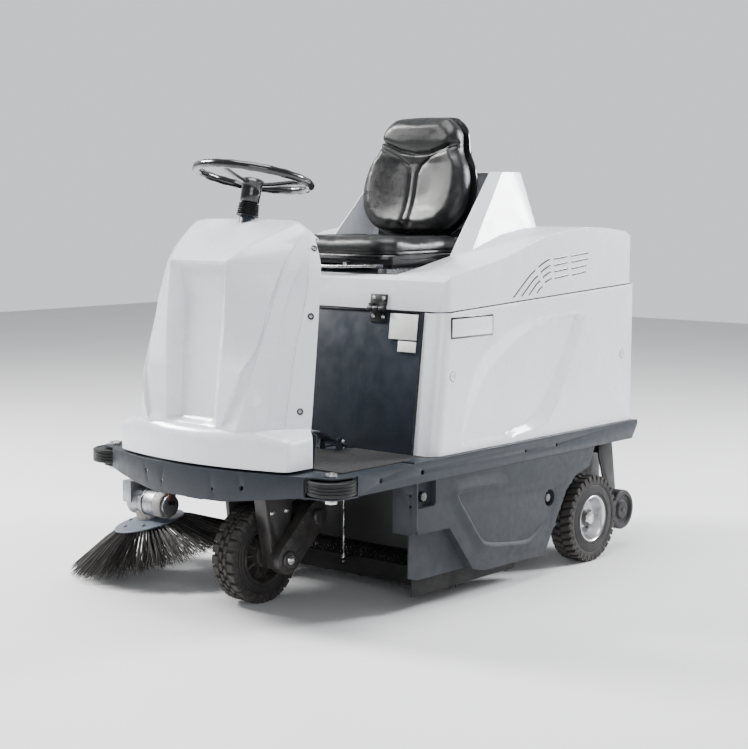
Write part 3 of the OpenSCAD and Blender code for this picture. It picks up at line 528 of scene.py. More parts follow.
def build_cover():
    rows = []
    heights = [487] + list(range(490, 530, 4)) + list(range(530, 884,
                                                            8)) + [886, 890, 893, 896, 899, 902, 905]
    for z in heights:
        rows.append([(x, y, z) for x, y in cover_section(z)])
    # the bonnet: columns fan out from the recess to the crest
    last = rows[-1]
    count = len(last)
    targets = []
    rim_x = last[RIM_COLUMN][0]
    for k, (x, _, _) in enumerate(last):
        if k <= RIM_COLUMN:
            tx = x * FOLD / rim_x
        else:
            tx = FOLD + (220 - FOLD) * (x - rim_x) / (250 - rim_x)
        targets.append(Vector((tx,) + at(CREST, tx)))
    for s in range(1, 15):
        t = s / 14
        row = []
        for k in range(count):
            a, b = Vector(last[k]), targets[k]
            p = a.lerp(b, t)
            bulge = math.sin(math.pi * t) * (7.0 if k < 6 else 4.0)
            row.append(p + Vector((0, -0.5 * bulge, bulge * 0.8)))
        rows.append(row)
    # outside the recess the front bends back softly, with no visor edge
    first = min(i for i, row in enumerate(rows) if row[0][2] >= 846)
    for k in range(RIM_COLUMN + 1, count):
        for _ in range(36):
            moved = [(Vector(rows[i - 1][k]) + 2 * Vector(rows[i][k]) + Vector(rows[i + 1][k])) / 4
                     for i in range(first, len(rows) - 4)]
            for i, p in enumerate(moved):
                rows[first + i][k] = p

    def spot(z):
        """A place on the flank's rear band and the outward normal there."""
        k = count - 2
        i = min(range(1, len(rows) - 1), key=lambda n: abs(rows[n][k][2] - z))
        here = Vector(rows[i][k])
        across = Vector(rows[i][k + 1]) - Vector(rows[i][k - 1])
        n = across.cross(Vector(rows[i + 1][k]) - Vector(rows[i - 1][k]))
        return here, (n if n.x > 0 else -n).normalized()

    spots = [spot(z) for z in (938, 768, 538)]
    # the top rolls over behind the crest
    rows.append([Vector(p) + Vector((0, 9, 1)) for p in rows[-1]])
    rows.append([Vector(p) + Vector((0, 16, -3)) for p in rows[-2]])
    full = [[(-p[0], p[1], p[2]) for p in reversed(row[1:])] + [tuple(p) for p in row] for row in rows]
    cover = Shape().grid(full)

    # the apron round the foot, with its ledge
    plan = [(x, 295 - math.sqrt(890 ** 2 - x * x)) for x in [i * 280 / 24 for i in range(25)]]
    for i in range(1, 9):
        a = math.radians(90 * i / 8)
        plan.append((280 + 22 * math.sin(a), plan[24][1] + 22 - 22 * math.cos(a) + 1.5))
    plan += [(302, y) for y in (-505, -490, -470, -452)]
    low = rows[0]

    def even(points, n):
        points = [Vector((p[0], p[1])) for p in points]
        lens = [0]
        for a, b in zip(points, points[1:]):
            lens.append(lens[-1] + (b - a).length)
        out, j = [], 0
        for i in range(n):
            d = lens[-1] * i / (n - 1)
            while j < len(points) - 2 and lens[j + 1] < d:
                j += 1
            t = (d - lens[j]) / max(1e-6, lens[j + 1] - lens[j])
            out.append(points[j].lerp(points[j + 1], t))
        return out

    outer = even(plan, 70)
    inner = even([(p[0], p[1] + 8) if p[0] < 160 else (p[0] - 8, p[1] + 3) for p in low], 70)
    apron_rows = []
    for z, s in ((402, 0), (440, 0), (462, 0), (469, 0.03), (475, 0.09), (481, 0.2), (486, 0.36),
                 (491, 0.58), (495, 0.8),
                 (498, 1.02), (500, 1.2)):
        apron_rows.append([(o.x + (i.x - o.x) * s, o.y + (i.y - o.y) * s, z) for o, i in zip(outer, inner)])
    full = [[(-p[0], p[1], p[2]) for p in reversed(row[1:])] + row for row in apron_rows]
    cover.grid(full)
    piece(cover, "steering_cover_shell", "chassis", "white", "steering_cover", shell=3.0, sharp=24)
    return spots


COVER_SPOTS = build_cover()


# ---------------------------------------------------------------- body side panels
def split_z(y):
    return 768 + (y + 76) * 0.04476


LEAF_OUT = [(-2, 417), (18, 520), (53, 605), (104, 652), (194, 701), (286, 724), (374, 731), (480, 735),
            (594, 737),
            (528, 613), (439, 479), (398, 434), (325, 420), (199, 414)]
LEAF_IN = [(12, 424), (76, 537), (135, 607), (240, 671), (342, 712), (430, 722), (545, 727), (453, 572),
           (373, 476),
           (309, 444), (199, 424)]


LEAF_DEEP = 13.0


def leaf_depth(y, z):
    """How far the leaf-shaped recess goes in at a point of the side."""
    if not inside(LEAF_OUT, y, z):
        return 0.0
    if inside(LEAF_IN, y, z):
        return LEAF_DEEP
    a, b = edge_distance(LEAF_OUT, y, z), edge_distance(LEAF_IN, y, z)
    return LEAF_DEEP * a / max(1e-6, a + b)


def build_side_panel(side, flip):
    rows = []
    bottom, steps = 399.0, 74
    for i in range(steps + 1):
        t = i / steps
        row = []
        lean = math.tan(math.radians(7.01))
        for x in (351, 366, 382):
            z = bottom + t * (split_z(-90) - 2 - bottom)
            row.append((x, -119.5 + (z - 394) * lean, z))
        for k in range(1, 10):
            a = math.radians(90 * k / 9)
            z = bottom + t * (split_z(-60) - 2 - bottom)
            row.append((382 + 36 * math.sin(a), -119.5 + (z - 394) * lean + 36 - 36 * math.cos(a), z))
        z = bottom + t * (split_z(-60) - 2 - bottom)
        front = -83.5 + (z - 394) * lean
        for k in range(1, 176):
            y = front + (835.5 - front) * k / 175
            z = bottom + t * (split_z(y) - 2 - bottom)
            depth = leaf_depth(y, z)
            edge = 1.6 * ease((z - (split_z(y) - 9)) / 7)
            row.append((418 - depth - edge, y, z))
        rows.append(row)
    shape = Shape().grid(rows, flip_x=flip)
    piece(shape, side + "_body_panel_shell", "chassis", "white", side + "_body_panel", shell=-3.0 if flip
          else 3.0,
          sharp=28, recalc=True)


for side, flip in SIDES:
    build_side_panel(side, flip)
refine("rear_body_panel", "chassis", "white", 1.2)


# ---------------------------------------------------------------- hood
HOOD = [(-73, split_z(-73) + 1), (-62, 846), (-44, 860), (60, 878), (200, 905), (300, 932), (391, 957),
        (500, 972),
        (600, 978), (700, 974), (799, 963), (836, 946), (838, split_z(838) + 1)]
HUMP_BASE = [(-240, 165), (240, 165), (268, 215), (268, 600), (-268, 600), (-268, 215)]
HUMP_CROWN = [(-209, 398), (209, 398), (223, 440), (223, 530), (-223, 530), (-223, 440)]


def solid_from(shape, name):
    """An object with welded corners and outward faces."""
    mesh = mesh_of(shape, name)
    with editing(mesh) as bm:
        bmesh.ops.remove_doubles(bm, verts=bm.verts, dist=1e-5)
        bmesh.ops.recalc_face_normals(bm, faces=bm.faces)
    return place_object(name, mesh)


def combine(base, others):
    for other, how in others:
        mod = base.modifiers.new("b", "BOOLEAN")
        mod.operation = how
        mod.solver = "EXACT"
        mod.object = other
    bake_modifiers(base)
    for other, _ in others:
        bpy.data.objects.remove(other)
    return base


def build_hood():
    base = Shape().prism(HOOD, -HOOD_SIDE, HOOD_SIDE)
    hump = Shape().loft([[(x, y, z) for x, y in outline] for outline,
                         z in ((HUMP_BASE, 880), (HUMP_CROWN, 1134))])
    well = Shape().loft([[(-w, -130, z), (w, -130, z), (w, rear, z), (-w, rear, z)]
                         for w, rear, z in ((236, 386, 858), (196, 452, 1250))])
    ring = [(HOOD_SIDE * sx - sx * r * (1 - math.cos(a)), yy + sy * r * (1 - math.sin(a)))
            for sx, yy, sy, r in ((1, -74, 1, 34), (1, 838.5, -1, 16), (-1, 838.5, -1, 16),
                                  (-1, -74, 1, 34))
            for a in ([math.radians(90 * t / 10) for t in range(11)] if sx * sy < 0 else
                      [math.radians(90 * t / 10) for t in range(10, -1, -1)])]
    plan = Shape().loft([[(x, y, z) for x, y in ring] for z in (700, 1300)])
    body = combine(solid_from(base, "hood_base"), [(solid_from(plan, "hood_plan"), "INTERSECT"),
                                                  (solid_from(hump, "hood_hump"), "UNION"),
                                                  (solid_from(well, "hood_well"), "DIFFERENCE")])
    mesh = body.data.copy()
    bpy.data.objects.remove(body)
    mesh.name = "hood_shell"
    with editing(mesh) as bm:
        bmesh.ops.dissolve_limit(bm, angle_limit=math.radians(0.3), verts=bm.verts, edges=bm.edges)
        underside = [f for f in bm.faces if f.normal.z < -0.9 and f.calc_center_median().z < 0.84]
        bmesh.ops.delete(bm, geom=underside, context="FACES")
    obj = finish_mesh(mesh, bevel=13, segs=4, limit=24, sharp=50, recalc=False)
    mod = obj.modifiers.new("shell", "SOLIDIFY")
    mod.thickness = 0.0035
    mod.offset = -1
    bake_modifiers(obj)
    obj.data.shade_smooth()
    obj.data.set_sharp_from_angle(angle=math.radians(40))
    dress(obj, "hood_body", "white", "hood")


build_hood()

VENTS = [
    [[(231, 793), (270, 822), (305, 848), (335, 865)], [(349, 872), (376, 884), (405, 893)],
     [(422, 892), (493, 898)],
     [(509, 898), (600, 905)]],
    [[(270, 795), (300, 818), (325, 837), (348, 849)], [(360, 857), (384, 868), (409, 876)],
     [(424, 874), (495, 881)],
     [(514, 881), (598, 888)]],
    [[(305, 797), (325, 813), (342, 826), (359, 835)], [(370, 842), (390, 851), (411, 858)],
     [(427, 857), (497, 863)],
     [(514, 862), (592, 870)]],
    [[(343, 800), (356, 811), (371, 819)], [(381, 828), (397, 834), (415, 839)], [(430, 838), (500, 846)],
     [(517, 844), (589, 852)]],
]


def vent_shade_strip(shape, path, x, flip):
    """A rounded raised-lip strip in black along a path in the side plane: painted shade standing in for the
    dark inside of a vent slot.
    """
    pts = curve([(0, y, z) for y, z in path], 5)
    left, right = [], []
    for i, p in enumerate(pts):
        d = (pts[min(i + 1, len(pts) - 1)] - pts[max(i - 1, 0)]).normalized()
        n = Vector((0, -d.z, d.y)) * 2.6
        left.append((p + n)[1:])
        right.append((p - n)[1:])
    outline = [tuple(p) for p in left] + [tuple(p) for p in reversed(right)]
    shape.prism(outline, x - 2.0, x + 0.7, flip_x=flip)


# black strips on the hood's sides: painted shade for the dark insides of the vent slots
for side, flip in SIDES:
    vent_shade_strips = Shape()
    for row in VENTS:
        for path in row:
            vent_shade_strip(vent_shade_strips, path, HOOD_SIDE, flip)
    piece(vent_shade_strips, side + "_hood_vent_shade_strips", "hood_body", "gloss", bevel=1.2)


# ---------------------------------------------------------------- carried-over frame parts
# CAD nodes that keep their shape, by body: (node, material, edge radius)
REFINED = (
    ("chassis", (
        ("side_rails", "grey", 1.3), ("front_plate", "grey", 1.6),
        ("frame_crossbars", "grey", 1.2), ("deck_plate", "grey", 1.0), ("floor_mat", "mat", 1.0),
        ("slewing_bearing", "zinc", 1.0), ("bulkhead_panel", "dark", 1.2),
        ("column_tube", "dark", 0.8), ("steering_chain", "zinc", 0.6),
        ("hinge_lower_leaves", "black", 1.0), ("brush_housing", "black", 1.0),
        ("side_flaps", "flap", 1.0), ("axle_stubs", "zinc", 1.2), ("battery_pack", "black", 3.0),
        ("fan_unit", "black", 3.0))),
    ("steering_wheel_body", (("steering_shaft", "zinc", 0.6),)),
    ("steer_sprocket_body", (("steer_sprocket", "zinc", 0.5),)),
    ("fork_body", (("fork", "rimblack", 1.8),)),
    ("front_wheel", (("front_axle", "zinc", 1.0),)),
    ("side_brush_carrier", (("side_brush_arm", "galva", 0.9),)),
    ("flap_pedal_body", (("flap_pedal", "dark", 1.2),)),
    ("drive_pedal_body", (("drive_pedal", "dark", 1.2),)),
    ("key_body", (("key_switch", "zinc", 0.8),)),
    ("hood_body", (("hinge_upper_leaves", "black", 1.0), ("seat_rails", "zinc", 1.2))),
    ("seat_body", (("seat_frame", "black", 1.6),)),
    ("front_flap_body", (("front_flap", "flap", 0.8),)),
    ("chassis", (("roller_bolts", "zinc", 1.2),)),
    ("hopper_body", (("hopper_bin", "black", 1.6),)),
)
for body, items in REFINED:
    for node, mat, bevel in items:
        refine(node, body, mat, bevel)


def bolt(shape, centre, axis, r, h, hexagon=True, place=None, flip_x=False):
    """A domed washer with a hexagon or socket head on it."""
    axis = Vector(axis).normalized()
    c = Vector(centre)
    shape.lathe([(0, 0), (r * 1.45, 0), (r * 1.5, h * 0.12), (r * 1.35, h * 0.3), (0, h * 0.3)], c, axis,
                28, place, flip_x)
    if hexagon:
        shape.lathe([(0, h * 0.25), (r, h * 0.25), (r, h * 0.9), (r * 0.85, h), (0, h)], c, axis, 6, place,
                    flip_x)
    else:
        shape.lathe([(0, h * 0.25), (r, h * 0.25), (r, h * 0.8), (r * 0.8, h), (r * 0.5, h),
                     (r * 0.5, h * 0.5),
                     (0, h * 0.5)], c, axis, 28, place, flip_x)


# cover and body screws: dished black washers with bright heads, and round each body screw cap a thin black
# ring that is painted shadow, standing in for the shade round the dished cap
def build_panel_screws():
    cups_and_shade_rings, heads, caps = Shape(), Shape(), Shape()
    for spot, n in COVER_SPOTS:
        for _, flip in SIDES:
            cups_and_shade_rings.lathe([(4.2, -6), (8.6, -6), (8.6, 0.6), (7.6, 2.0), (5.2, 1.2), (4.2, -1.0)], spot, n, 32,
                       None, flip)
            heads.lathe([(0, -6), (5, -6), (5, 0.2), (3.8, 1.2), (2.0, 1.2), (2.0, -0.6), (0, -0.6)], spot,
                        n, 24,
                        None, flip)
    for y in (-40, 787):
        for _, flip in SIDES:
            spot = (BODY_SIDE, y, 602)
            caps.lathe([(6.6, -5), (12, -5), (12, 0.6), (11, 2.2), (8.6, 1.6), (6.6, -1.8)], spot,
                       (1, 0, 0), 36,
                       None, flip)
            heads.lathe([(0, -6), (6.2, -6), (6.2, -1.6), (5.0, -0.2), (0, 0.4)], spot, (1, 0, 0), 28, None,
                        flip)
            # thin black ring round the body screw cap: painted shadow for the shade that rings the dished
            # cap
            cups_and_shade_rings.lathe([(11.9, -2), (13.4, -2), (13.4, 0.25), (11.9, 0.25)], spot, (1, 0, 0), 36, None,
                       flip)
    piece(caps, "body_screw_caps", "chassis", "white")
    piece(cups_and_shade_rings, "panel_screw_cups_and_shade_rings", "chassis", "gloss", "panel_screws")
    piece(heads, "panel_screw_heads", "chassis", "zinc")


build_panel_screws()


def build_dash():
    half = [(296, 1), (296, 86), (268, 99), (243, 506), (231, 540), (214, 562), (198, 578), (180, 590),
            (158, 597)]
    outline = half + [(-x, z) for x, z in reversed(half)]
    outline = [(x, z / math.cos(math.radians(8.73))) for x, z in outline]
    dash = Shape().prism(outline, 0.4, 3.2, "xz", DASH)
    dash.prism([(60, 480), (190, 480), (196, 486), (196, 548), (190, 554), (60, 554), (54, 548), (54, 486)],
               2.8, 5.0,
               "xz", DASH)
    piece(dash, "dash_panel_plate", "chassis", "dark", "dash_panel", bevel=1.0)
    knobs = Shape()
    knobs.lathe([(10.5, 2), (16, 2), (16, 5.4), (14, 7), (10.5, 7)], (120, 0, 512), (0, 1, 0), 40, DASH)
    for x in (78, 164):
        knobs.lathe([(0, 4), (9, 4), (9, 8), (7.5, 10), (0, 10)], (x, 0, 528), (0, 1, 0), 32, DASH)
    piece(knobs, "dash_buttons", "chassis", "gloss", sharp=40)


build_dash()


# ---------------------------------------------------------------- steering wheel and boot
def build_steering():
    rim = Shape()
    ring = [(148 * math.cos(2 * math.pi * i / 120), 148 * math.sin(2 * math.pi * i / 120), 681)
            for i in range(120)]
    rim.tube(ring, [11.0 + 0.5 * math.sin(2 * math.pi * i * 20 / 120) for i in range(120)], 20, True,
             COLUMN)
    rim.lathe([(0, 612), (20, 612), (25, 616), (26, 640), (25.5, 655), (30, 661), (33, 667), (30, 673),
               (22, 676.5),
               (0, 677)], (0, 0, 0), (0, 0, 1), 48, COLUMN)
    for a in (-90, 30, 150):
        turn = COLUMN @ Matrix.Rotation(math.radians(a), 4, "Z")
        rows = []
        for i in range(15):
            t = i / 14
            r = 18 + 126 * t
            z = 663 + 18 * ease(t)
            w = 16 - 4 * math.sin(math.pi * min(1, t * 1.05)) + 4 * t * t
            row = []
            for k in range(12):
                b = 2 * math.pi * k / 12
                row.append((r, w * math.cos(b), z + (4.6 - 1.2 * t) * math.sin(b)))
            rows.append(row)
        rim.grid(rows, True, turn)
        rim.tube([(18 + 122 * t / 8, 0, 667 + 18.5 * ease(t / 8)) for t in range(9)], 3.0, 8, False, turn)
    piece(rim, "steering_wheel_rim", "steering_wheel_body", "gloss", "steering_wheel", sharp=50)
    boot = Shape()
    prof = [(19, 577)]
    for i in range(7):
        z = 577 + i * 5.0
        prof += [(22.5 + (6 - i) * 0.35, z), (26.5 + (6 - i) * 0.45, z + 1.6),
                 (26.5 + (6 - i) * 0.45, z + 3.2)]
    prof += [(21, 612), (19.4, 612)]
    boot.lathe(prof, (0, 0, 0), (0, 0, 1), 48, COLUMN)
    piece(boot, "column_boot_bellows", "chassis", "black", "column_boot", sharp=40)


build_steering()


# ---------------------------------------------------------------- wheels
def tyre_profile(r, bead, w):
    h = w / 2
    return [(bead, -h + 5), (bead + 2, -h + 2), (r - 30, -h + 0.5), (r - 28, -h + 2), (r - 26, -h + 0.5),
            (r - 16, -h),
            (r - 9, -h + 3), (r - 7, -h + 7), (r - 6.5, 0), (r - 7, h - 7), (r - 9, h - 3), (r - 16, h),
            (r - 26, h - 0.5), (r - 28, h - 2), (r - 30, h - 0.5), (bead + 2, h - 2), (bead, h - 5)]


def lug_block(shape, centre, angle, r0, r1, x0, x1, half, skew=0.0, chamfer=1.6):
    """A tread block: between two radii, x0 to x1 across, half its angle along the tread."""
    y, z = centre
    verts = []
    for rr, shrink in ((r0, 0.0), (r1 - chamfer, 0.0), (r1, chamfer)):
        for x, side in ((x0 + shrink, -1), (x1 - shrink, -1), (x1 - shrink, 1), (x0 + shrink, 1)):
            mid = (x0 + x1) / 2
            a = angle + side * (half - shrink / rr) + skew * (x - mid) / rr
            verts.append((x, y + rr * math.cos(a), z + rr * math.sin(a)))
    faces = [(3, 2, 1, 0), (8, 9, 10, 11)]
    for k in (0, 4):
        faces += [(k + i, k + (i + 1) % 4, k + 4 + (i + 1) % 4, k + 4 + i) for i in range(4)]
    shape.add(verts, faces)


def build_tyre(name, body, node, centre, r, bead, w, front):
    x, y, z = centre
    carcass = Shape().lathe(tyre_profile(r, bead, w), centre, (1, 0, 0), 96)
    ring = Shape()
    for side in (-1, 1):
        ring.lathe([(bead + 13, side * (w / 2 - 1.2)), (bead + 14, side * (w / 2 + 0.2)),
                    (bead + 15, side * (w / 2 - 1.2))], centre, (1, 0, 0), 96)
    lugs = Shape()
    count = 26 if front else 34
    step = math.pi / count
    h = w / 2 - 1.5
    for i in range(count):
        a = 2 * math.pi * i / count
        if front:
            lug_block(lugs, (y, z), a, r - 12, r, x - h, x - h * 0.42, step * 0.72)
            lug_block(lugs, (y, z), a + step, r - 12, r, x - h * 0.34, x - 2, step * 0.66, 0.25)
            lug_block(lugs, (y, z), a, r - 12, r, x + 2, x + h * 0.34, step * 0.66, -0.25)
            lug_block(lugs, (y, z), a + step, r - 12, r, x + h * 0.42, x + h, step * 0.72)
        else:
            lug_block(lugs, (y, z), a, r - 12, r, x - h, x - 3, step * 0.62, 0.3)
            lug_block(lugs, (y, z), a + step, r - 12, r, x + 3, x + h, step * 0.62, -0.3)
    # shoulder ribs that run from the tread down the sidewall
    for i in range(count * 2 if front else count):
        a = 2 * math.pi * (i + 0.5) / (count * 2 if front else count)
        for side in (-1, 1):
            if not front or i % 2:
                x0 = x + side * (h - 6)
                x1 = x + side * (w / 2 + 0.6)
                lug_block(lugs, (y, z), a, r - 21, r - 4, min(x0, x1), max(x0, x1), 0.035, 0.0, 1.0)
    piece(carcass, name + "_carcass", body, "tyre", node, sharp=40)
    piece(ring, name + "_rings", body, "lug")
    piece(lugs, name + "_lugs", body, "lug", sharp=25)


build_tyre("front", "front_wheel", "front_tyre", FRONT_WHEEL, 127, 74, 76, True)
build_tyre("left", "rear_left_wheel", "left_tyre", REAR_WHEEL, 127, 64, 70, False)
build_tyre("right", "rear_right_wheel", "right_tyre", (-REAR_WHEEL[0],) + REAR_WHEEL[1:], 127, 64, 70,
           False)


def build_rear_rim(side, flip):
    x, y, z = c = REAR_WHEEL
    rim = Shape().lathe([(12.1, -31), (22, -31), (22, -14), (59, -14), (59, -26), (64, -26), (66, -31),
                         (67, -31),
                         (67, -33), (63, -33), (63, 27), (67, 31), (67.5, 33.5), (65.5, 34.6), (62.5, 32.5),
                         (60, 26), (57.5, 8), (52, -2), (44, -5), (38, -3.5), (33, 1), (28, 2.5), (24, 2.5),
                         (24, 8),
                         (20, 12), (12.1, 12)], c, (1, 0, 0), 96, None, flip)
    piece(rim, side + "_rim_dish", "rear_" + side + "_wheel", "silver", side + "_rim", sharp=38)
    hub = Shape().lathe([(13, 10), (22.5, 8), (25, 9.5), (25.5, 12), (23, 14), (19, 14.5), (17, 16),
                         (13, 16)],
                        c, (1, 0, 0), 48, None, flip)
    for k in range(5):
        a = 2 * math.pi * k / 5 + 0.3
        p = (x - 4.5, y + 41 * math.cos(a), z + 41 * math.sin(a))
        hub.lathe([(0, -2), (4.4, -2), (4.4, 3.4), (3.2, 4.6), (0, 4.6)], p, (1, 0, 0), 6, None, flip)
    piece(hub, side + "_rim_hub", "rear_" + side + "_wheel", "rimblack", sharp=38)


for side, flip in SIDES:
    build_rear_rim(side, flip)


def build_front_rim():
    across = Matrix(((0, 0, 1, 0), (0, 1, 0, 0), (1, 0, 0, 0), (0, 0, 0, 1)))
    rim = Shape().lathe([(12.1, -38), (30, -38), (30, -9), (40, -8), (66, -8), (67, -30), (71, -34),
                         (74, -36),
                         (75, -38.4), (72, -38.8), (70, -36), (70, 36), (73, 38.8), (76, 39.2), (77, 37),
                         (73, 31), (69, 30), (66, 8), (54, 2), (44, 0), (36, 2), (33, 8), (32, 36),
                         (29, 38),
                         (12.1, 38)], FRONT_WHEEL, (1, 0, 0), 96)
    for k in range(10):
        turn = Matrix.Translation(FRONT_WHEEL) @ Matrix.Rotation(2 * math.pi * k / 10, 4, "X")
        rim.prism([(32, -1), (68, -1), (68, 24), (60, 14), (32, 22)], -3, 3, "yz", turn @ across)
    piece(rim, "front_rim_ribbed", "front_wheel", "rimblack", "front_rim", sharp=38)


build_front_rim()


def hopper_wheel(side, flip):
    s = Shape().lathe([(8.2, -17), (26, -17), (28, -12), (44, -12), (46, -17), (57, -17), (60, -13),
                       (60, 13), (57, 17),
                       (46, 17), (44, 11), (30, 9), (26, 16), (8.2, 17)], HOPPER_WHEEL, (1, 0, 0), 72, None,
                      flip)
    piece(s, "hopper_" + side + "_wheel_tread", "hopper_" + side + "_wheel_body", "rubber",
          "hopper_" + side + "_wheel",
          sharp=38, bevel=0.8)


for side, flip in SIDES:
    hopper_wheel(side, flip)


# ---------------------------------------------------------------- drive side of the fork
def build_chain_case():
    a, b = Vector(FRONT_WHEEL[1:]), Vector(DRIVE_MOTOR[1:])
    ra, rb = 39, 40
    d = (b - a).normalized()
    n = Vector((-d.y, d.x))
    base = math.atan2(n.y, n.x)
    outline = [(c.x + r * math.cos(t), c.y + r * math.sin(t)) for c, r,
               first in ((a, ra, base), (b, rb, base + math.pi))
               for t in [first + math.pi * i / 18 for i in range(19)]]
    case = Shape().prism(outline, 88.2, 119.6)
    case.lathe([(0, 114), (24, 114), (24, 124), (20, 127), (12, 127), (12, 124), (0, 124)], FRONT_WHEEL,
               (1, 0, 0), 48)
    for i in range(5):
        t = (i + 0.5) / 5
        p = a.lerp(b, t)
        case.lathe([(0, 114), (4, 114), (4, 122.6), (3, 123.4), (0, 123.4)],
                   (0, p.x + n.x * 33, p.y + n.y * 33),
                   (1, 0, 0), 20)
    rib = [(119.4, a.x + 30 * math.cos(t), a.y + 30 * math.sin(t)) for t in
           [base + 0.3 + i * (math.pi - 0.6) / 14 for i in range(15)]]
    case.tube(rib, 2.6, 8)
    for w in (12, -12):
        case.tube([(119.4, a.x + d.x * s + n.x * w, a.y + d.y * s + n.y * w) for s in (26, 50, 80, 104)],
                  2.4, 8)
    piece(case, "chain_case_casting", "fork_body", "rimblack", "chain_case", bevel=1.8, segs=3)
    motor = Shape().lathe([(0, 44), (34, 44), (36, 46), (36, 60), (34.6, 61), (34.6, 63), (36, 64),
                           (36, 87.6),
                           (0, 87.6)], DRIVE_MOTOR, (1, 0, 0), 60)
    motor.lathe([(0, 119.8), (21, 119.8), (21, 130), (18, 133.6), (0, 134)], DRIVE_MOTOR, (1, 0, 0), 48)
    piece(motor, "drive_motor_body", "fork_body", "rimblack", "drive_motor", sharp=38)
    screws = Shape()
    for y, z in ((-372, 250), (-372, 300), (-318, 250)):
        bolt(screws, (88, y, z), (1, 0, 0), 5, 6, False)
    bolt(screws, (127,) + FRONT_WHEEL[1:], (1, 0, 0), 8, 7, False)
    piece(screws, "fork_screws", "fork_body", "zinc")


build_chain_case()


# ---------------------------------------------------------------- corner rollers
def build_roller(side, flip):
    s = Shape()
    prof = [(10.1, 350.4), (54, 350.4), (59.5, 353)]
    for z in (356, 364, 372, 380):
        prof += [(60, z - 0.5), (60, z + 2.5), (57.4, z + 4.0), (57.4, z + 6.0)]
    prof = [p for p in prof if p[1] < 385] + [(59.5, 384.6), (55, 387), (50, 386.6), (48, 385), (16, 385),
                                              (10.1, 386.5)]
    s.lathe(prof, CORNER_ROLLER, (0, 0, 1), 72, None, flip)
    piece(s, side + "_roller_ribbed", side + "_roller_body", "rubber", side + "_roller", sharp=34)


for side, flip in SIDES:
    build_roller(side, flip)


# ---------------------------------------------------------------- side brush
def build_side_brush():
    disc = Shape().lathe([(0, -6), (96, -6), (100, -4.5), (100, -1.5), (97, 0), (84, 0.6), (60, 5), (34, 8),
                          (24, 9),
                          (22, 11), (9, 11), (8, 22.6), (0, 22.6)], (0, 0, 0), (0, 0, 1), 72, SIDE_BRUSH)
    for k in range(6):
        a = math.radians(60 * k + 12)
        disc.lathe([(0, 2), (6, 2), (6, 7), (4.5, 8), (0, 8)], (70 * math.cos(a), 70 * math.sin(a), -1),
                   (0, 0, 1), 6, SIDE_BRUSH)
    piece(disc, "side_brush_plate", "side_brush", "disc", "side_brush_disc", sharp=40)

    def strands(name, mat, total, width, seed, replaces=()):
        r = random.Random(seed)
        s = Shape()
        clumps = 64
        for i in range(total):
            clump = i % clumps
            ring = (i // clumps) % 3
            a0 = 2 * math.pi * (clump + 0.33 * ring) / clumps
            tight = r.gauss(0, 0.010)
            base_r = 62 + ring * 14 + r.uniform(-3, 3)
            spread = 0.055 * r.gauss(0, 1) + 0.02 * math.sin(clump * 2.3)
            reach = min(205 + ring * 20 + r.uniform(-22, 10), 249)
            drop = -84 - 7 * r.random() + (249 - reach) * 0.03
            pts = []
            for j in range(5):
                t = j / 4
                rr = base_r + (reach - base_r) * (t ** 0.92)
                z = -5 + (drop + 5) * (t ** 1.12) - 6 * math.sin(math.pi * t) * (1 - ring * 0.25)
                a = a0 + tight + spread * t * t
                pts.append((rr * math.cos(a), rr * math.sin(a), max(-93.5, z)))
            s.tube(pts, [width, width, width * 0.95, width * 0.8, width * 0.35], 4, False, SIDE_BRUSH)
        piece(s, name, "side_brush", mat, replaces, weld=0.001, sharp=60, recalc=False)

    strands("side_brush_black_strands", "bristle", 2600, 0.95, 3, "side_brush_bristles")
    # grey strands mixed among the black ones: painted highlight on the bristles
    strands("side_brush_highlight_strands", "bristle_painted_highlight", 520, 0.8, 11)

    motor = Shape()
    axis = (1, 0, 0)
    _, y, z = o = BRUSH_MOTOR
    motor.lathe([(0, -500), (30, -500), (33, -498), (37.5, -494), (37.5, -452), (36.4, -450), (36.4, -446),
                 (37.5, -444),
                 (37.5, -392), (0, -392)], o, axis, 64)
    motor.lathe([(0, -362), (26, -362), (30, -360), (30, -352), (24, -350), (0, -350)], o, axis, 56)
    motor.rod((-509, y, z), (-498, y, z), 9, seg=24)
    piece(motor, "side_brush_motor_can", "side_brush_carrier", "galva", "side_brush_motor", sharp=36)
    ring = Shape()
    ring.lathe([(0, -394), (36, -394), (37.4, -390), (37.4, -366), (35, -361.5), (0, -361.5)], o, axis, 56)
    for k in range(4):
        a = math.radians(90 * k + 45)
        bolt_y, bolt_z = y + 35 * math.cos(a), z + 35 * math.sin(a)
        ring.rod((-394, bolt_y, bolt_z), (-360.5, bolt_y, bolt_z), 4.2, seg=14)
    ring.lathe([(8.2, 8), (30, 8), (31, 14), (31, 34), (28, 44), (12, 46), (8.2, 46)], (0, 0, 0), (0, 0, 1),
               48, SIDE_BRUSH)
    piece(ring, "side_brush_motor_ring", "side_brush_carrier", "cast", sharp=36)
    tie = Shape().lathe([(37.3, -436), (38.6, -435.5), (38.6, -431.5), (37.3, -431)], o, axis, 56)
    tie.block((-437, -322, 243), (-430, -314, 249))
    for end_y in (-325, -311):
        tie.rod((-352, end_y, 214), (-346, end_y, 214), 6, seg=20)
    piece(tie, "side_brush_motor_tie", "side_brush_carrier", "gloss", bevel=0.5)
    wire = Shape().tube(curve([(-352, -325, 224), (-346, -330, 240), (-352, -326, 254), (-368, -314, 261),
                               (-392, -306, 259)], 5), 2.0, 8)
    piece(wire, "side_brush_motor_wire", "side_brush_carrier", "red")


build_side_brush()


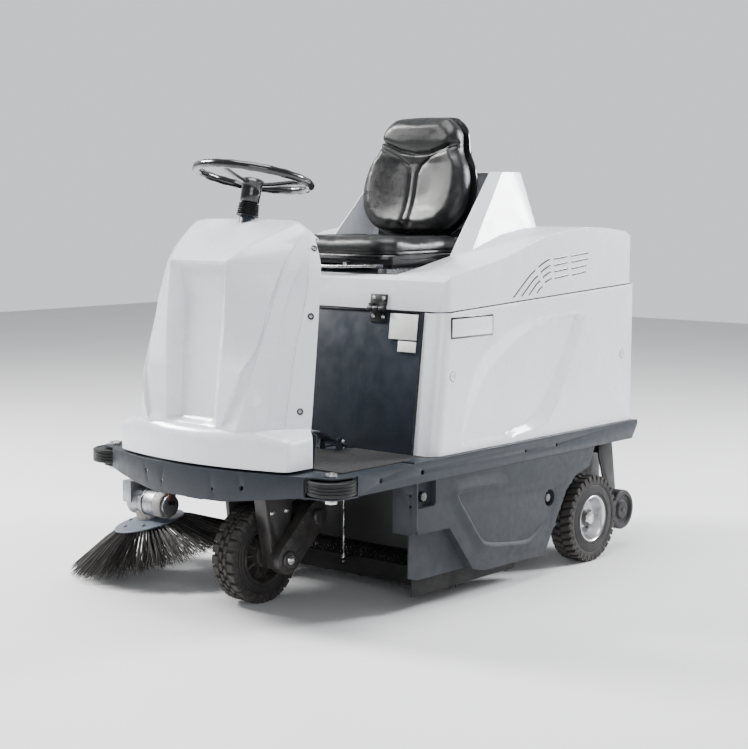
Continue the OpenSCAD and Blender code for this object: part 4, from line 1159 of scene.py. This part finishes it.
# ---------------------------------------------------------------- main brush and cable
def build_main_brush():
    y, z = MAIN_BRUSH_Y, MAIN_BRUSH_Z
    core = Shape().rod((-346, y, z), (346, y, z), 12)
    core.rod((-329, y, z), (329, y, z), 62, seg=48)
    piece(core, "main_brush_core", "main_brush_body", "black", "main_brush")
    r = random.Random(5)
    s = Shape()
    for row in range(8):
        for i in range(150):
            x = -326 + 652 * i / 149
            vee = 0.9 * abs(x) / 326
            a = 2 * math.pi * row / 8 + vee
            for _ in range(2):
                b = a + r.gauss(0, 0.05)
                xx = x + r.uniform(-2, 2)
                tip = 137.5 + r.uniform(-3, 1.5)
                c = b + r.gauss(0, 0.04)
                p0 = (xx, y + 60 * math.cos(b), z + 60 * math.sin(b))
                p1 = (xx + r.gauss(0, 2), y + tip * math.cos(c), z + tip * math.sin(c))
                s.tube([p0, p1], [1.5, 0.9], 4)
    piece(s, "main_brush_bristles", "main_brush_body", "bristle", weld=0.001, sharp=60, recalc=False)


build_main_brush()


def build_flap_cable():
    s = Shape()
    for k in range(3):
        pts = []
        for i in range(140):
            t = i / 139
            a = 2 * math.pi * (k / 3 + t * 26)
            pts.append((CABLE_X + 0.85 * math.cos(a), CABLE_Y + 0.85 * math.sin(a), 88 + 325 * t))
        s.tube(pts, 0.95, 6)
    for low, high, r in ((84, 104, 4.6), (409, 417, 4.8)):
        s.rod((CABLE_X, CABLE_Y, low), (CABLE_X, CABLE_Y, high), r, seg=20)
    piece(s, "flap_cable_wire", "flap_cable_body", "zinc", "flap_cable", weld=0.001, sharp=50)


build_flap_cable()


# ---------------------------------------------------------------- skirts
# Crest of the raised fold round the skirt's recessed panel, as (y, z)
SKIRT_FOLD = [(222, 296), (108, 301), (9, 303), (-34, 296), (-27, 272), (17, 217), (65, 158), (100, 135),
              (181, 121),
              (294, 112), (357, 137), (421, 171)]
SKIRT_MIDDLE = (180, 215)


def build_skirt_detail(side, flip):
    refine(side + "_skirt", "chassis", "skirt", 1.8, 3)
    trim = Shape()
    path = curve([(0, y, z) for y, z in SKIRT_FOLD], 8)
    rows = []
    for i, p in enumerate(path):
        d = (path[min(i + 1, len(path) - 1)] - path[max(i - 1, 0)]).normalized()
        out = Vector((0, -d.z, d.y))
        if out.dot(Vector((0, p.y - SKIRT_MIDDLE[0], p.z - SKIRT_MIDDLE[1]))) < 0:
            out = -out
        high = 7.0 * ease(i / 14) * ease((len(path) - 1 - i) / 14)
        rows.append([(SKIRT_SIDE + high * k, p.y + out.y * w, p.z + out.z * w)
                     for w, k in ((34, 0.0), (22, 0.22), (10, 0.66), (3, 0.95), (0, 1.0), (-3, 0.92),
                                  (-12, 0.0))])
    trim.grid(rows, False, None, flip)
    piece(trim, side + "_skirt_emboss", "chassis", "skirt", sharp=45)
    knob = Shape()
    for (y, z), base in (((-161, 304), 408), ((400, 223), 410)):
        knob.rod((base - 10, y, z), (base, y, z), 5, None, 20, None, flip)
        ring = lambda a, r, h: 0.9 * math.cos(12 * a) if r > 10 and h > 1 else 0
        knob.lathe([(0, 0), (11, 0), (13, 1.5), (13, 10), (11, 12.5), (6, 13), (0, 13)], (base, y, z),
                   (1, 0, 0), 72,
                   None, flip, ring)
    piece(knob, side + "_skirt_knobs", "chassis", "gloss", "skirt_knobs" if side == "left" else (),
          sharp=38)


for side, flip in SIDES:
    build_skirt_detail(side, flip)


# ---------------------------------------------------------------- small trim
def build_trim():
    # pale blank label plates on the bulkhead
    plates = Shape()
    plates.block((238, -5.4, -76), (331, -3.6, -9), BULKHEAD)
    plates.block((271, -5.4, -108), (331, -3.6, -80), BULKHEAD)
    piece(plates, "blank_label_plates", "chassis", "label", bevel=0.6)
    # blank badge plate with a black rim on each side of the hood's lower panel
    for side, flip in SIDES:
        frame_shape = Shape().block((417.0, -50, 699), (419.4, 134, 755), None, flip)
        piece(frame_shape, side + "_badge_rim", "chassis", "gloss", bevel=1.2)
        face = Shape().block((419.0, -45, 704), (420.2, 129, 750), None, flip)
        piece(face, side + "_badge_face", "chassis", "white", bevel=0.6)
    # hinge screws, black trim along the bulkhead's top and its edge
    for name, body, y, z, place in (("low", "chassis", -4, -20, BULKHEAD),
                                    ("high", "hood_body", -4.5, 27, HOOD_FRONT)):
        screws = Shape()
        for x in (-212, -178, 178, 212):
            bolt(screws, (x, y, z), (0, -1, 0), 4, 4, False, place)
        piece(screws, "hinge_screws_" + name, body, "zinc")
    seal = Shape()
    seal.tube([(x, -70 - 2.2, 765) for x in range(-349, 350, 34)], 3.0, 10)
    for x in (-348.5, 348.5):
        seal.tube([(x, -120 + 46 * t / 8 - 1.2, 402 + 362 * t / 8) for t in range(9)], 2.6, 10)
    piece(seal, "bulkhead_edge_seal", "chassis", "gloss")
    rows = []
    for i in range(61):
        x = -340 + 680 * i / 60
        y = 295 - math.sqrt(897 ** 2 - x * x)
        rows.append([(x, y + 1, 391), (x, y + 0.2, 395), (x, y + 8, 395.6), (x, y + 8, 391)])
    piece(Shape().loft(rows), "front_plate_lip", "chassis", "grey", sharp=40)


build_trim()


# ---------------------------------------------------------------- seat
def soft_piece(shape, name, body, node, cap, crease, voxel=5.5, press=4.0):
    """A pad: remeshed, swollen by a short cloth simulation, then given its seams."""
    obj = solid_from(shape, name)
    mod = obj.modifiers.new("remesh", "REMESH")
    mod.mode = "VOXEL"
    mod.voxel_size = voxel / 1000
    bake_modifiers(obj)
    start = [v.co.copy() for v in obj.data.vertices]
    mod = obj.modifiers.new("cloth", "CLOTH")
    s = mod.settings
    s.use_pressure = True
    s.uniform_pressure_force = press
    s.effector_weights.gravity = 0
    s.mass = 0.4
    s.tension_stiffness = s.compression_stiffness = 14
    s.bending_stiffness = 3
    mod.collision_settings.use_collision = False
    mod.point_cache.frame_start, mod.point_cache.frame_end = 1, 20
    for f in range(1, 21):
        bpy.context.scene.frame_set(f)
    deps = bpy.context.evaluated_depsgraph_get()
    moved = [v.co.copy() for v in obj.evaluated_get(deps).data.vertices]
    obj.modifiers.clear()
    bpy.context.scene.frame_set(1)
    for v, a, b in zip(obj.data.vertices, start, moved):
        d = b - a
        if d.length > cap / 1000:
            d = d.normalized() * cap / 1000
        v.co = a + d
    with editing(obj.data) as bm:
        for _ in range(3):
            bmesh.ops.smooth_vert(bm, verts=bm.verts, factor=0.5, use_axis_x=True, use_axis_y=True,
                                  use_axis_z=True)
    mod = obj.modifiers.new("s", "SUBSURF")
    mod.levels = mod.render_levels = 1
    bake_modifiers(obj)
    normals = [v.normal.copy() for v in obj.data.vertices]
    for v, n in zip(obj.data.vertices, normals):
        v.co += crease(Vector(v.co) * 1000 + MID, n) / 1000
    obj.data.shade_smooth()
    dress(obj, body, "vinyl", node)


BACK_HALF = [(0, 4), (84, 7), (129, 19), (161, 44), (183, 78), (191, 117), (191, 156), (182, 195),
             (170, 220), (156, 243),
             (150, 260), (138, 307), (124, 328), (106, 342), (83, 351), (0, 353)]
SMILE = [(-136, 277), (-104, 264), (-56, 246), (0, 237), (56, 240), (104, 254), (136, 272)]
SEAM = [(-146, 262), (-104, 244), (-56, 226), (-24, 204), (-13, 180), (-12, 130), (-12, 82), (-13, 40)]


def build_seat_back():
    outline = BACK_HALF + [(-x, z) for x, z in reversed(BACK_HALF[1:-1])]
    pts = curve([(x, 0, z) for x, z in outline], 9, True)
    mid = Vector((0, 0, 178))
    rows = [[(q.x, y, q.z) for q in ring_about(pts, mid, -inset)]
            for y, inset in ((2, 14), (0, 6), (-10, 2), (-30, 1), (-44, 5), (-52, 14), (-55, 26))]
    for k in (0.7, 0.45, 0.2):
        rows.append([(x * k, -52 if k > 0.5 else -48, mid.z + (z - mid.z) * k) for x, _, z in rows[6]])
    shape = Shape().loft(rows, BACKREST)
    inv = BACKREST.inverted()
    turn = BACKREST.to_3x3()

    def crease(p, _):
        q = inv @ p
        front = ease((-q.y - 22) / 16)
        if front <= 0:
            return Vector((0, 0, 0))
        x, z = q.x, q.z
        d = edge_distance(SMILE, x, z, False)
        dent = 9.0 * math.exp(-(d / 4.0) ** 2) + 5.0 * math.exp(-(d / 11.0) ** 2)
        for s in (1, -1):
            d = edge_distance([(a * s, b) for a, b in SEAM], x, z, False)
            dent += 4.2 * math.exp(-(d / 3.2) ** 2) + 1.5 * math.exp(-(d / 9.0) ** 2)
        # hollow middle between the bolsters, and a full headrest
        bowl = ease(1 - abs(x) / 150) * ease((z - 30) / 60) * ease((236 - z) / 30)
        dent += 9.0 * bowl
        head = ease(1 - abs(x) / 170) * ease((z - 246) / 28) * ease((356 - z) / 50)
        dent -= 5.0 * head
        return turn @ Vector((0, dent * front, 0))

    soft_piece(shape, "seat_back_pad", "seat_body", "seat_back", 7, crease)
    shell = Shape().loft([[(q.x, y, q.z) for q in ring_about(pts, mid, grow)]
                          for y, grow in ((1, 1.5), (4, 3.0), (9, 2.0), (11, -6.0))], BACKREST)
    piece(shell, "seat_back_shell", "seat_body", "gloss", sharp=40)


def build_seat_cushion():
    half = [(0, -58), (120, -57), (170, -50), (200, -30), (213, 0), (215, 120), (212, 240), (196, 292),
            (150, 306), (0, 310)]
    outline = half + [(-x, y) for x, y in reversed(half[1:-1])]
    pts = curve([(x, y, 0) for x, y in outline], 10, True)
    mid = Vector((0, 126, 0))
    rows = [[(q.x, q.y, z + (5.0 * ease((80 - p.y) / 120) if z > 930 else 0))
             for p, q in zip(pts, ring_about(pts, mid, -inset))]
            for z, inset in ((906, 8), (910, 2), (926, 0), (938, 4), (945, 14), (948, 30))]
    for k in (0.75, 0.45, 0.15):
        rows.append([(q[0] * k, mid.y + (q[1] - mid.y) * k, 946 + (3 if q[1] < 60 else 0))
                     for q in rows[5]])
    shape = Shape().loft(rows)

    def crease(p, normal):
        top = ease((normal.z - 0.2) / 0.4)
        dent = (1 - top) * 3.2 * math.exp(-(abs(p.z - 917) / 2.6) ** 2)
        fold = 0.0
        for y0, slope, w, deep in ((40, 0.12, 16, 4.5), (104, -0.10, 20, 4.0), (176, 0.06, 22, 3.0)):
            fold += deep * math.exp(-((p.y - y0 - slope * p.x - 9 * math.sin(p.x / 60)) / w) ** 2)
        bolster = 5.0 * math.exp(-((abs(p.x) - 128) / 10) ** 2) + 4 * ease(1 - abs(p.x) / 150)
        dent += top * (fold * ease(1 - abs(p.x) / 215) + bolster * ease((p.y + 50) / 40))
        return -normal * dent

    soft_piece(shape, "seat_cushion_pad", "seat_body", "seat_cushion", 8, crease)
    base = Shape().loft([[(q.x, q.y, z) for q in ring_about(pts, mid, grow)]
                         for z, grow in ((896, -3), (898, 1), (906, 2.5), (909, 0.5), (909, -8))])
    piece(base, "seat_cushion_shell", "seat_body", "gloss", sharp=40)
    latch = Shape()
    latch.tube(curve([(-160, -48, 880), (-60, -62, 876), (40, -62, 876), (160, -48, 880)], 12), 4.0, 12)
    latch.rod((60, -58, 880), (60, -40, 880), 8)
    piece(latch, "seat_slide_latch", "seat_body", "zinc")


build_seat_back()
build_seat_cushion()


# ---------------------------------------------------------------- studio
def make_stage():
    floor = Shape().grid([[(-9000, -9000, 0), (9000, -9000, 0)], [(-9000, 9000, 0), (9000, 9000, 0)]])
    obj = place_object("studio_floor", mesh_of(floor, "studio_floor"))
    obj.data.materials.append(material("studio_floor", (0.86, 0.86, 0.86), 0.55, vary=(0.6, 0.01),
                                       grain=(40.0, 0.02)))


def area_light(name, place, target, size, power, tone=(1.0, 1.0, 1.0)):
    data = bpy.data.lights.new(name, "AREA")
    data.shape = "RECTANGLE"
    data.size, data.size_y = size
    data.energy = power
    data.color = tone
    obj = place_object(name, data)
    obj.location = place
    obj.rotation_euler = (Vector(target) - Vector(place)).to_track_quat("-Z", "Y").to_euler()


make_stage()
world = bpy.data.worlds.new("studio")
bpy.context.scene.world = world
world.use_nodes = True
nodes, links = world.node_tree.nodes, world.node_tree.links
facing = nodes.new("ShaderNodeVectorMath")
facing.operation = "DOT_PRODUCT"
facing.inputs[1].default_value = (-0.64, 0.76, 0.0)
links.new(nodes.new("ShaderNodeTexCoord").outputs["Generated"], facing.inputs[0])
ramp = nodes.new("ShaderNodeValToRGB")
ramp.color_ramp.elements[0].position, ramp.color_ramp.elements[0].color = 0.1, (0.34, 0.35, 0.37, 1.0)
ramp.color_ramp.elements[1].position, ramp.color_ramp.elements[1].color = 0.95, (0.92, 0.94, 0.97, 1.0)
links.new(facing.outputs["Value"], ramp.inputs[0])
links.new(ramp.outputs[0], nodes["Background"].inputs["Color"])
nodes["Background"].inputs["Strength"].default_value = 1.0
area_light("key", (-3.6, -1.6, 3.4), (0.1, -0.1, 0.6), (1.2, 1.2), 500.0, (1.0, 0.99, 0.97))
area_light("side", (2.6, 3.8, 2.6), (0.2, 0.2, 0.5), (1.2, 1.2), 340.0, (0.97, 0.98, 1.0))
area_light("fill", (3.6, -3.6, 1.6), (0.0, 0.0, 0.6), (2.5, 1.8), 60.0, (0.95, 0.97, 1.0))
area_light("top", (0.6, -0.4, 4.4), (0.0, 0.0, 0.0), (2.4, 2.4), 200.0)
